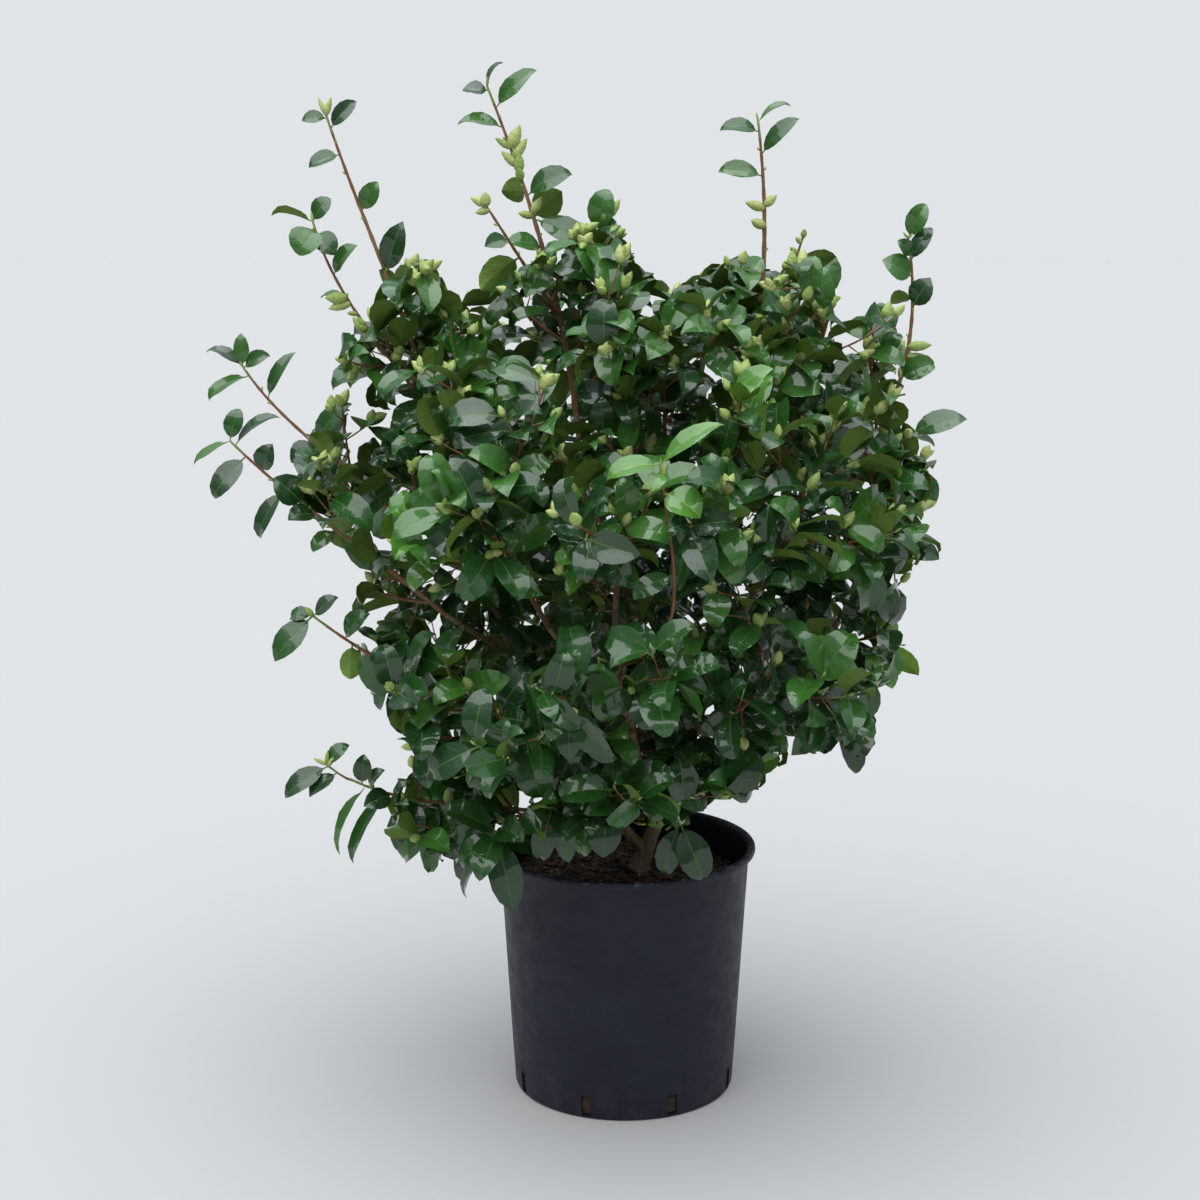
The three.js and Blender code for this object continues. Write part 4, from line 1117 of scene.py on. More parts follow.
# Buds that stand out, by the shoot that carries them: where each joins it and where it ends, in
# the photo's pixels, how far it points to the front, and its width as a share of its length
SEEN_BUDS = {
    ("top_left_leader", 0): (
        (326, 114, 318, 97, 0, 0.34), (327, 114, 331, 97, 4, 0.42),
        (401, 304, 400, 298, 18, 0.6)),
    ("top_left_leader", 1): (
        (344, 300, 325, 298, 5, 0.7), (346, 306, 328, 309, 5, 0.5), (351, 318, 347, 313, 12, 0.5),
        (313, 222, 311, 211, 3, 0.34)),
    ("left_upper", 0): ((243, 367, 238, 358, 4, 0.34),),
    ("left_middle", 0): ((284, 492, 275, 496, 4, 0.34),),
    ("left_lower", 0): ((313, 616, 305, 607, 8, 0.55),),
    "skirt_tip": (
        (326, 765, 313, 758, 4, 0.34), (326, 765, 328, 750, 4, 0.34),
        (328, 766, 334, 757, 8, 0.4)),
    ("skirt_left", 0): (
        (372, 790, 370, 782, 12, 0.5), (449, 803, 449, 787, 20, 0.5),
        (405, 798, 401, 792, 10, 0.5)),
    ("top_centre_leader", 0): (
        (512, 147, 495, 138, 0, 0.5), (514, 147, 520, 125, 6, 0.62), (520, 156, 527, 138, 4, 0.55),
        (516, 166, 501, 151, 8, 0.5), (522, 172, 519, 152, 10, 0.6), (524, 178, 518, 168, 18, 0.65),
        (536, 212, 542, 197, 4, 0.6), (532, 217, 518, 213, 4, 0.62), (487, 86, 488, 76, 4, 0.34)),
    ("top_centre_leader", 1): (
        (486, 205, 470, 197, 2, 0.6), (486, 205, 485, 192, 12, 0.85),
        (489, 210, 475, 213, 4, 0.66)),
    ("top_centre_leader", 2): (
        (624, 268, 627, 253, 8, 0.6), (624, 268, 618, 264, 12, 0.6)),
    "top_centre": (
        (590, 244, 592, 226, 6, 0.55), (594, 246, 604, 243, 15, 0.6),
        (608, 217, 620, 199, 4, 0.55),
        (606, 220, 603, 215, 14, 0.7)),
    ("right_centre_leader", 0): (
        (764, 208, 745, 202, 4, 0.58), (766, 206, 777, 195, 0, 0.7), (763, 226, 751, 220, 12, 0.7),
        (758, 120, 756, 112, 3, 0.34)),
    ("right_centre_leader", 1): (
        (803, 237, 805, 229, 10, 0.7), (801, 243, 796, 237, 10, 0.6), (797, 254, 790, 247, 8, 0.6),
        (790, 266, 794, 253, 6, 0.55)),
    ("right_centre_leader", 2): ((720, 277, 719, 267, 4, 0.4),),
    ("right_leader", 0): (
        (914, 348, 932, 345, 4, 0.55), (913, 358, 930, 357, 0, 0.4), (904, 380, 899, 367, 4, 0.45),
        (908, 238, 903, 232, 4, 0.34), (908, 238, 913, 233, 8, 0.34)),
    "right_twig": ((879, 328, 868, 314, 4, 0.4),),
    "right_high": ((908, 436, 909, 430, 18, 0.8),),
    "right_bud": (
        (895, 479, 904, 467, 8, 0.65), (893, 479, 885, 474, 8, 0.5),
        (904, 477, 928, 471, 2, 0.24)),
    "right_middle": (
        (884, 551, 879, 530, 6, 0.55), (886, 551, 888, 540, 16, 0.62),
        (868, 566, 852, 556, 16, 0.7)),
    "right_low": ((874, 652, 879, 647, 16, 0.8),),
    "right_hang": ((842, 706, 855, 709, 6, 0.45), (841, 705, 846, 694, 6, 0.6)),
    "pot_right": ((679, 822, 680, 808, 10, 0.75),),
    "pot_front": ((608, 806, 609, 790, 6, 0.6),),
    "front": ((661, 466, 661, 458, 4, 0.34), (663, 478, 668, 462, 6, 0.3)),
}

# How the leaves above bend, where only their two ends and their width show, and the share of its
# seen width that a bud's own form has
SEEN_ARCH = (30, 65)
SEEN_CURL = (20, 70)
SEEN_FOLD = (0.15, 0.5)
SEEN_TWIST = 0.5
SEEN_WAVE = (0.6, 2)
SEEN_LONGER = 1.05
SEEN_BUD_WIDTH = 0.88

# The small buds in the axils of the bare stretches: their gap, the stretch of the shoot that has
# them, the turn from one to the next and their size
NODE_BUD_GAP = 36
NODE_BUD_STRETCH = (0.3, 0.96)
NODE_BUD_TURN = 2.4
NODE_BUD_SIZE = {"length": 7.5, "width": 3.6}


def seen_sprays():
    """The shoots that carry what stands out, by name or by mass and order"""
    names = [mass["name"] for mass in MASSES]
    carriers = {}
    for name, (place, end, leave, arrive, radii) in SEEN_SPRAYS.items():
        parent = DRAWN[names.index(place[0])][place[1]]
        rod = curved(parent.point(place[2]), np.array(leave), seen_at(*end), np.array(arrive),
                     radii)
        carriers[name] = {"rod": rod, "kind": "seen", "mass": names.index(place[0])}
    for key in SEEN_LEAVES:
        if key not in carriers:
            index = names.index(key[0])
            carriers[key] = {"rod": DRAWN[index][key[1]], "mass": index}
    return carriers


def joint_at(rod, x, y):
    """The share of a rod's length where it comes nearest to one of the photo's pixels"""
    line = in_photo(rod.points(LENGTH_TICKS))
    return np.linalg.norm(line - (x, y), axis=1).argmin() / (len(LENGTH_TICKS) - 1)


def seen_leaf(spray, x, y, tip_x, tip_y, wide, shown, forward, draw):
    """A leaf from its joint to its tip as the photo shows them"""
    root = spray["rod"].point(joint_at(spray["rod"], x, y))
    tip = seen_at(tip_x, tip_y, root[1] - forward)
    reach = np.linalg.norm(tip - root)
    ahead = (tip - root) / reach
    face = UP * (1.05 - abs(shown)) + np.array((0, -1, 0.2)) * shown
    face = unit(face - ahead * face.dot(ahead))
    pixel = (root[1] - CAMERA_PLACE[1] / MM) * CAMERA_SENSOR / CAMERA_LENS / PHOTO_SIDE
    return {"root": root, "ahead": ahead, "side": np.cross(ahead, face), "face": face,
            "length": reach / (1 - LEAF_ROWS[0]) * SEEN_LONGER, "width": wide * pixel,
            "arch": math.radians(within(SEEN_ARCH, draw())),
            "curl": math.radians(within(SEEN_CURL, draw())),
            "fold": within(SEEN_FOLD, draw()), "twist": SEEN_TWIST * (draw() - 0.5),
            "wave": within(SEEN_WAVE, draw()), "phase": ANY_TURN * draw(),
            "tone": tone_of(root, draw), "mass": spray["mass"]}


def seen_bud(spray, x, y, tip_x, tip_y, forward, wide, draw):
    """A bud from its joint to its end as the photo shows them"""
    root = spray["rod"].point(joint_at(spray["rod"], x, y))
    reach = seen_at(tip_x, tip_y, root[1] - forward) - root
    length = np.linalg.norm(reach)
    return {"root": root, "axis": reach / length, "length": length,
            "width": wide * length * SEEN_BUD_WIDTH, "turn": ANY_TURN * draw(),
            "tone": int(2 * draw())}


def add_node_buds(buds):
    """The small buds in the axils of the bare stretches"""
    names = [mass["name"] for mass in MASSES]
    for order, (name, which) in enumerate(SEEN_COURSES):
        rod, draw = DRAWN[names.index(name)][which], seeded(NODE_BUD_SEED + order)
        count = int(rod.length() * 0.7 / NODE_BUD_GAP)
        for k in range(count):
            share = within(NODE_BUD_STRETCH, (k + 0.5 * draw()) / count)
            axis = unit(rod.spoke(share, NODE_BUD_TURN * k) + rod.tangent(share))
            buds.append({"root": rod.point(share) + axis * within(rod.radii, share) * 0.7,
                         "axis": axis, "turn": NODE_BUD_TURN * k, "tone": 0, **NODE_BUD_SIZE})


def dress_crown():
    """All the shrub's rods, leaves and buds"""
    leaves, buds = [], []
    room = Room()
    rods = [spray for index in range(len(MASSES)) for spray in grow_mass(index)] + grow_inner()
    carriers = seen_sprays()
    standing = [spray for spray in carriers.values() if "kind" in spray]
    for spray in rods + standing:
        rod = spray["rod"]
        count = max(2, int(rod.length() / ROD_PROBE_GAP))
        room.take(rod.points(np.linspace(ROD_PROBES_FROM, 1, count)))
    draw = seeded(SEEN_LEAF_SEED)
    for key, spray in carriers.items():
        for leaf in SEEN_LEAVES[key]:
            leaves.append(seen_leaf(spray, *leaf, draw))
            room.take(probes(leaves[-1]))
        for bud in SEEN_BUDS.get(key, ()):
            buds.append(seen_bud(spray, *bud, draw))
    add_node_buds(buds)
    for order, spray in enumerate(rods):
        spray["draw"] = seeded(SPRAY_SEED + order)
        spray["leaves"] = []
        tip = spray["rod"].point(1)
        spray["tone"] = tone_of(tip, spray["draw"])
        if spray["kind"] != "inner" and in_outline(tip[None, :])[0]:
            add_buds(room, spray["rod"], spray["draw"], buds, climbed(tip, *FLOWER_RISE))
    for spray in rods:
        turn = ANY_TURN * spray["draw"]()
        for k in range(TUFT_LEAVES):
            hang_leaf(spray, room, TUFT_FIRST + TUFT_GAP * k, turn + TUFT_TURN * k)
    for spray in rods:
        draw, length = spray["draw"], spray["rod"].length()
        turn = ANY_TURN * draw()
        from_tip = FIRST_LEAF + LEAF_GAP_SPREAD * draw()
        while from_tip < (1 - BARE_SHARE[spray["kind"]]) * length:
            turn += math.radians(LEAF_TURN)
            hang_leaf(spray, room, from_tip, turn)
            from_tip += LEAF_GAP + LEAF_GAP_SPREAD * draw()
        leaves += spray["leaves"]
    return rods + standing, leaves, buds


def joined(name, places, faces, slots, materials, sharp_degrees, uv=None):
    """A piece from vertices in millimetres, faces and the material of each face"""
    mesh = bpy.data.meshes.new(name)
    mesh.from_pydata((np.asarray(places) * MM).tolist(), [], faces)
    for material in materials:
        mesh.materials.append(material)
    mesh.polygons.foreach_set("material_index", np.asarray(slots, np.int32))
    mesh.polygons.foreach_set("use_smooth", np.ones(len(faces), bool))
    if uv is not None:
        mesh.uv_layers.new(name="blade").data.foreach_set("uv", np.asarray(uv, np.float32).ravel())
    mesh.set_sharp_from_angle(angle=math.radians(sharp_degrees))
    mesh.update()
    piece = bpy.data.objects.new(name, mesh)
    bpy.context.scene.collection.objects.link(piece)
    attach(piece, "root")
    return piece


def copies(form_faces, count, corners):
    """The faces of many copies of a form"""
    return [tuple(corner + n * corners for corner in face)
            for n in range(count) for face in form_faces]


# How far the ends of a tube stand out, as a share of its radius there
FOOT_BULGE = 0.3
TIP_BULGE = 0.6


def tube(line, radii, sides):
    """A closed tube along a line: its vertices and faces"""
    line = np.asarray(line)
    along = np.gradient(line, axis=0)
    along /= np.linalg.norm(along, axis=1)[:, None]
    side = np.cross(along[0], UP if abs(along[0][2]) < 0.9 else EAST)
    angles = 2 * math.pi * np.arange(sides) / sides
    places = []
    for middle, ahead, radius in zip(line, along, radii):
        side = unit(side - ahead * side.dot(ahead))
        other = np.cross(ahead, side)
        places.append(middle + radius * (np.outer(np.cos(angles), side)
                                         + np.outer(np.sin(angles), other)))
    last = len(line) - 1
    places.append(np.array([line[0] - along[0] * radii[0] * FOOT_BULGE,
                            line[-1] + along[-1] * radii[-1] * TIP_BULGE]))
    foot, tip = (last + 1) * sides, (last + 1) * sides + 1
    faces = []
    for k in range(sides):
        after = (k + 1) % sides
        for ring in range(last):
            faces.append((ring * sides + k, ring * sides + after,
                          (ring + 1) * sides + after, (ring + 1) * sides + k))
        faces.append((foot, after, k))
        faces.append((tip, last * sides + k, last * sides + after))
    return np.concatenate(places), faces


def turned_form(name, profile, segments):
    """A closed form drawn up from a disc, ring by ring of (height, radius), and closed by a disc"""
    bpy.ops.object.select_all(action="DESELECT")
    height, radius = profile[0]
    bpy.ops.mesh.primitive_circle_add(vertices=segments, radius=radius, fill_type="NGON",
                                      location=(0, 0, height))
    form = bpy.context.object
    form.name = name
    bpy.ops.object.transform_apply(location=True)
    bpy.ops.object.mode_set(mode="EDIT")
    bpy.ops.mesh.select_all(action="SELECT")
    for above, wide in profile[1:]:
        bpy.ops.mesh.extrude_region_move(TRANSFORM_OT_translate={"value": (0, 0, above - height)})
        bpy.ops.transform.resize(value=(wide / radius, wide / radius, 1),
                                 center_override=(0, 0, above))
        height, radius = above, wide
    bpy.ops.mesh.select_all(action="SELECT")
    bpy.ops.mesh.normals_make_consistent(inside=False)
    bpy.ops.object.mode_set(mode="OBJECT")
    return form


# A bud 1 long: its rings of (height, radius), the two rings where its scales end, its sides and
# how far the points of the scales reach on
BUD_PROFILE = ((0, 0.22), (0.1, 0.38), (0.33, 0.5), (0.345, 0.485), (0.6, 0.43), (0.615, 0.41),
               (0.82, 0.25), (1.0, 0.02))
BUD_SCALE_ENDS = (0.33, 0.6)
BUD_SIDES = 8
BUD_SCALE_POINT = 0.035


def model_bud():
    """A bud whose scales end in points by turns, one ring above the other"""
    bud = turned_form("bud_form", BUD_PROFILE, BUD_SIDES)
    for odd, end in enumerate(BUD_SCALE_ENDS):

        def pointed(co):
            side = round(math.atan2(co.y, co.x) / (2 * math.pi) * BUD_SIDES)
            return end - 0.004 < co.z < end + 0.02 and side % 2 == odd

        pick(bud, pointed)
        bpy.ops.transform.translate(value=(0, 0, BUD_SCALE_POINT))
        bpy.ops.object.mode_set(mode="OBJECT")
    return bud


def bud_copies(form, buds):
    """The bud form in the place of every bud, in millimetres"""
    placed = []
    for bud in buds:
        side = turned(unit(np.cross(bud["axis"], EAST + 0.1 * UP)), bud["axis"], bud["turn"])
        other = np.cross(bud["axis"], side)
        placed.append(bud["root"] + np.outer(form[:, 2] * bud["length"], bud["axis"])
                      + np.outer(form[:, 0] * bud["width"], side)
                      + np.outer(form[:, 1] * bud["width"], other))
    return np.concatenate(placed)


# The looks: plain colours as the photo has them, in linear light
LEAF_COLOURS = {
    "upper_dark": (0.011, 0.046, 0.011), "upper_deep": (0.017, 0.074, 0.013),
    "upper_mid": (0.034, 0.12, 0.016), "upper_young": (0.065, 0.2, 0.022),
    "under": (0.12, 0.2, 0.035), "under_young": (0.16, 0.3, 0.04),
    "rib": (0.075, 0.15, 0.035), "rib_young": (0.2, 0.32, 0.07),
}


def socket_group(name, inputs, outputs):
    """A new shader node group with named sockets, its entry and its exit"""
    group = bpy.data.node_groups.new(name, "ShaderNodeTree")
    for label, kind, value in inputs:
        item = group.interface.new_socket(label, in_out="INPUT", socket_type=kind)
        if value is not None:
            item.default_value = value
    for label, kind in outputs:
        group.interface.new_socket(label, in_out="OUTPUT", socket_type=kind)
    return group, group.nodes.new("NodeGroupInput"), group.nodes.new("NodeGroupOutput")


def add_node(tree, kind, inputs=(), **values):
    """A node with its settings and plain socket values, and what else its sockets are linked to
    or hold"""
    node = tree.nodes.new(kind)
    for key, value in values.items():
        if hasattr(node, key):
            setattr(node, key, value)
        else:
            node.inputs[key.replace("_", " ")].default_value = value
    for target, source in dict(inputs).items():
        if isinstance(source, bpy.types.NodeSocket):
            tree.links.new(source, node.inputs[target])
        else:
            node.inputs[target].default_value = source
    return node


def noise_patch_group():
    """Patches of noise that run between two values, stretched along the piece's height if wanted"""
    group, entry, out = socket_group(
        "patches", (("Scale", "NodeSocketFloat", 10.0), ("Stretch", "NodeSocketVector", (1, 1, 1)),
                    ("Low", "NodeSocketFloat", 0.0), ("High", "NodeSocketFloat", 1.0)),
        (("Value", "NodeSocketFloat"),))
    place = add_node(group, "ShaderNodeTexCoord")
    spread = add_node(group, "ShaderNodeVectorMath",
                      {0: place.outputs["Object"], 1: entry.outputs["Stretch"]},
                      operation="MULTIPLY")
    grain = add_node(group, "ShaderNodeTexNoise",
                     {"Vector": spread.outputs[0], "Scale": entry.outputs["Scale"]},
                     Detail=4.0, Roughness=0.6)
    ranged = add_node(group, "ShaderNodeMapRange",
                      {"Value": grain.outputs[0], "To Min": entry.outputs["Low"],
                       "To Max": entry.outputs["High"]}, From_Min=0.32, From_Max=0.68)
    group.links.new(ranged.outputs[0], out.inputs["Value"])
    return group


def leaf_relief_group():
    """The relief of a leaf: side veins that run forward from the rib, a fine leathery grain and
    the beads of rain that lie on it"""
    group, entry, out = socket_group(
        "leaf_relief", (("Veins", "NodeSocketFloat", 0.4), ("Beads", "NodeSocketFloat", 0.5)),
        (("Normal", "NodeSocketVector"),))

    def reckoned(operation, first, second=0.5):
        return add_node(group, "ShaderNodeMath", {0: first, 1: second},
                        operation=operation).outputs[0]

    def textured(kind, scale, **values):
        return add_node(group, kind, {"Vector": place.outputs["Object"]}, Scale=scale, **values)

    def raised(height, distance, strength, before=()):
        return add_node(group, "ShaderNodeBump", {"Height": height, "Strength": strength,
                                                  **dict(before)}, Distance=distance).outputs[0]

    uv = add_node(group, "ShaderNodeUVMap", uv_map="blade")
    split = add_node(group, "ShaderNodeSeparateXYZ", {0: uv.outputs[0]})
    side = reckoned("ABSOLUTE", reckoned("SUBTRACT", split.outputs["X"], 0.5))
    along = reckoned("ADD", split.outputs["Y"], reckoned("MULTIPLY", side, -0.62))
    fold = reckoned("PINGPONG", reckoned("MULTIPLY", along, 9.0), 0.5)
    vein = add_node(group, "ShaderNodeMapRange", {"Value": fold}, From_Max=0.2, To_Max=1.0)
    place = add_node(group, "ShaderNodeTexCoord")
    grain = textured("ShaderNodeTexNoise", 420.0, Detail=2.0)
    beads = textured("ShaderNodeTexVoronoi", 190.0)
    bead = add_node(group, "ShaderNodeMapRange", {"Value": beads.outputs["Distance"]},
                    interpolation_type="SMOOTHSTEP", From_Min=0.12, From_Max=0.3,
                    To_Min=1.0, To_Max=0.0)
    wet = textured("ShaderNodeTexNoise", 26.0)
    wetter = add_node(group, "ShaderNodeMapRange", {"Value": wet.outputs[0]},
                      From_Min=0.5, From_Max=0.62)
    rained = reckoned("MULTIPLY", bead.outputs[0], wetter.outputs[0])
    swell = textured("ShaderNodeTexNoise", 62.0, Detail=1.0)
    blistered = raised(swell.outputs[0], 0.005, 0.5)
    veined = raised(vein.outputs[0], 0.0006, entry.outputs["Veins"], {"Normal": blistered})
    leather = raised(grain.outputs[0], 0.0003, 0.35, {"Normal": veined})
    rain = raised(rained, 0.0012, entry.outputs["Beads"], {"Normal": leather})
    group.links.new(rain, out.inputs["Normal"])
    return group


PATCHES = noise_patch_group()
LEAF_RELIEF = leaf_relief_group()


def new_finish(name, colour, **values):
    """A material of one Principled shader with plain values, and its tree and shader"""
    material = bpy.data.materials.new(name)
    material.use_nodes = True
    tree = material.node_tree
    shader = tree.nodes["Principled BSDF"]
    shader.inputs["Base Color"].default_value = (*colour, 1)
    for key, value in values.items():
        shader.inputs[key.replace("_", " ")].default_value = value
    return material, tree, shader


def patches(tree, scale, low, high, stretch=(1, 1, 1)):
    """Patches of noise between two values, in a material"""
    node = tree.nodes.new("ShaderNodeGroup")
    node.node_tree = PATCHES
    for key, value in (("Scale", scale), ("Low", low), ("High", high), ("Stretch", stretch)):
        node.inputs[key].default_value = value
    return node.outputs["Value"]


def leaf_finish(name, colour, rough, coat, veins, beads):
    """A leaf's material: patchy roughness, a clear coat, veins and beads of rain"""
    material, tree, shader = new_finish(name, colour, Coat_Weight=coat, Coat_Roughness=0.05,
                                        Specular_IOR_Level=0.2)
    tree.links.new(patches(tree, 30.0, rough[0], rough[1]), shader.inputs["Roughness"])
    relief = tree.nodes.new("ShaderNodeGroup")
    relief.node_tree = LEAF_RELIEF
    relief.inputs["Veins"].default_value = veins
    relief.inputs["Beads"].default_value = beads
    tree.links.new(relief.outputs["Normal"], shader.inputs["Normal"])
    return material


def leaf_finishes():
    """The materials of a leaf's faces in the order of LEAF_COLOURS"""
    made = []
    for name, colour in LEAF_COLOURS.items():
        if name.startswith("upper"):
            made.append(leaf_finish("leaf_" + name, colour, (0.24, 0.4), 0.9, 0.25, 1.0))
        elif name.startswith("under"):
            made.append(leaf_finish("leaf_" + name, colour, (0.48, 0.66), 0.0, 0.3, 0.0))
        else:
            made.append(leaf_finish("leaf_" + name, colour, (0.35, 0.5), 0.1, 0.0, 0.0))
    return made


def plain_finish(name, colour, rough, bump_scale=0.0, bump=0.0, stretch=(1, 1, 1), **values):
    """A plain colour with patchy roughness and a fine relief"""
    material, tree, shader = new_finish(name, colour, **values)
    tree.links.new(patches(tree, 40.0, rough[0], rough[1]), shader.inputs["Roughness"])
    if bump_scale:
        relief = add_node(tree, "ShaderNodeBump",
                          {"Height": patches(tree, bump_scale, 0.0, 1.0, stretch)},
                          Distance=bump, Strength=1.0)
        tree.links.new(relief.outputs[0], shader.inputs["Normal"])
    return material


def mixed_finish(name, dark, light, scale, rough, stretch=(1, 1, 1), bump_scale=120.0, bump=0.0006,
                 **values):
    """Two colours in patches, patchy roughness and a relief"""
    material = plain_finish(name, dark, rough, bump_scale, bump, stretch, **values)
    tree = material.node_tree
    blend = add_node(tree, "ShaderNodeMix", data_type="RGBA")
    colours = [socket for socket in blend.inputs if socket.type == "RGBA"]
    colours[0].default_value, colours[1].default_value = (*dark, 1), (*light, 1)
    tree.links.new(patches(tree, scale, 0.0, 1.0, stretch), blend.inputs["Factor"])
    result = [socket for socket in blend.outputs if socket.type == "RGBA"][0]
    tree.links.new(result, tree.nodes["Principled BSDF"].inputs["Base Color"])
    return material


# Which masses' leaves are one piece
REGIONS = {
    "leaves_leaders": ("top_left_leader", "right_leader", "right_centre_leader",
                       "top_centre_leader"),
    "leaves_top": ("top_right", "top_middle", "back_top"),
    "leaves_left": ("left_upper", "left_middle", "left_lower"),
    "leaves_right": ("right_lower", "right_middle", "right_upper"),
    "leaves_front": ("front_left_upper", "front_centre_upper", "front_right_upper",
                     "front_left_lower", "front_centre_lower", "front_right_lower"),
    "leaves_back": ("back_centre_upper", "back_left_upper", "back_right_upper",
                    "back_centre_lower", "back_left_lower", "back_right_lower"),
    "leaves_skirt": ("skirt_left", "skirt_front", "skirt_right"),
}
ALL_FOLIAGE = tuple("foliage_" + mass["name"] for mass in MASSES)


def make_leaves(leaves):
    """The leaf pieces, one for each part of the crown"""
    flat, faces = mesh_arrays(model_leaf())
    sides = leaf_sides(flat, faces)
    names = list(LEAF_COLOURS)
    slot_of = np.array([[names.index("upper_" + tone) for tone in TONES],
                        [names.index("under" + ("_young" if tone == "young" else ""))
                         for tone in TONES],
                        [names.index("rib" + ("_young" if tone == "young" else ""))
                         for tone in TONES]])
    finishes = leaf_finishes()
    corner_uv = np.array([(0.5 + flat[corner, 0] / 2, flat[corner, 1])
                          for face in faces for corner in face])
    for piece_name, masses in REGIONS.items():
        chosen = [leaf for leaf in leaves if MASSES[leaf["mass"]]["name"] in masses]
        places = bent_leaves(flat, chosen).reshape(-1, 3)
        slots = np.concatenate([slot_of[sides, leaf["tone"]] for leaf in chosen])
        piece = joined(piece_name, places, copies(faces, len(chosen), len(flat)), slots, finishes,
                       70, np.tile(corner_uv, (len(chosen), 1)))
        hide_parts(*("foliage_" + name for name in masses))


# A twig is green at its tip, then ripens to orange brown and to tan, by millimetres from the tip
TWIG_GREEN_TO = 20
TWIG_RIPE_TO = 130
TWIG_RING_GAP = 13
TUBE_SIDES = 5
NODE_SWELL = 0.22
SHOOT_SUNK = 5


def make_twigs(rods):
    """The shoots and twigs as one piece"""
    places, faces, slots, first = [], [], [], 0
    for spray in rods:
        rod = spray["rod"]
        length = rod.length()
        rings = max(3, int(length / TWIG_RING_GAP)) + 1
        shares = np.linspace(0, 1, rings)
        radii = rod.radii[0] + (rod.radii[1] - rod.radii[0]) * shares
        radii = radii * (1 + NODE_SWELL * (np.arange(rings) % 2))
        line = rod.points(shares)
        if spray["kind"] == "shoot":
            line[0] -= rod.tangent(0) * SHOOT_SUNK
        tube_places, tube_faces = tube(line, radii, TUBE_SIDES)
        places.append(tube_places)
        ring = np.minimum(np.arange(len(tube_places)) // TUBE_SIDES, rings - 1)
        from_tip = length * (1 - ring / (rings - 1))
        for face in tube_faces:
            far = from_tip[list(face)].mean()
            slots.append(0 if far < TWIG_GREEN_TO else 1 if far < TWIG_RIPE_TO else 2)
            faces.append(tuple(corner + first for corner in face))
        first += len(tube_places)
    finishes = [plain_finish("twig_green", (0.2, 0.24, 0.045), (0.4, 0.6), 300.0, 0.0003),
                plain_finish("twig_ripening", (0.21, 0.085, 0.032), (0.4, 0.62), 260.0, 0.0004),
                plain_finish("twig_ripe", (0.23, 0.12, 0.055), (0.5, 0.75), 200.0, 0.0006)]
    twigs = joined("twigs", np.concatenate(places), faces, slots, finishes, 60)
    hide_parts(*ALL_FOLIAGE)


def make_buds(buds):
    """All the buds as one piece"""
    form, faces = mesh_arrays(model_bud())
    heights = [form[list(face)][:, 2] for face in faces]
    scale_end = [np.ptp(height) < 0.12 and 0.3 < height.mean() < 0.75 for height in heights]
    slots = [bud["tone"] * 2 + int(end) for bud in buds for end in scale_end]
    finishes = [plain_finish("bud_green", (0.27, 0.38, 0.095), (0.35, 0.5), 300.0, 0.0003),
                plain_finish("bud_green_scale_ends", (0.2, 0.2, 0.06), (0.4, 0.6)),
                plain_finish("bud_pale", (0.39, 0.46, 0.15), (0.35, 0.5), 300.0, 0.0003),
                plain_finish("bud_pale_scale_ends", (0.27, 0.24, 0.08), (0.4, 0.6))]
    piece = joined("buds", bud_copies(form, buds), copies(faces, len(buds), len(form)), slots,
                   finishes, 50)
    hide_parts(*ALL_FOLIAGE)


def finish_with(piece, kind, name, **values):
    """Add a modifier to a piece and apply it"""
    only_selected(piece)
    modifier = piece.modifiers.new(name, kind)
    for key, value in values.items():
        setattr(modifier, key, value)
    bpy.ops.object.modifier_apply(modifier=name)


# The wood, in millimetres: its rings' gap and sides, how fast the root flare and the swellings
# where limbs part die away, the grid that makes it one, its bark, and how deep it may reach into
# the compost
WOOD_RING_GAP = 9
WOOD_SIDES = 12
FLARE_FADES = 26
SWELLING = 0.35
SWELLING_FADES = 14
WOOD_VOXEL = 1.85
BARK_RIDGES = 0.35
BARK_LUMPS = 0.5
WOOD_SUNK = 4


def bark_relief(x, y, z):
    """How far the bark stands out at a place: long ridges and broad lumps"""
    return (BARK_RIDGES * noise.noise((x * 260, y * 260, z * 60))
            + BARK_LUMPS * noise.noise((x * 42, y * 42, z * 42)))


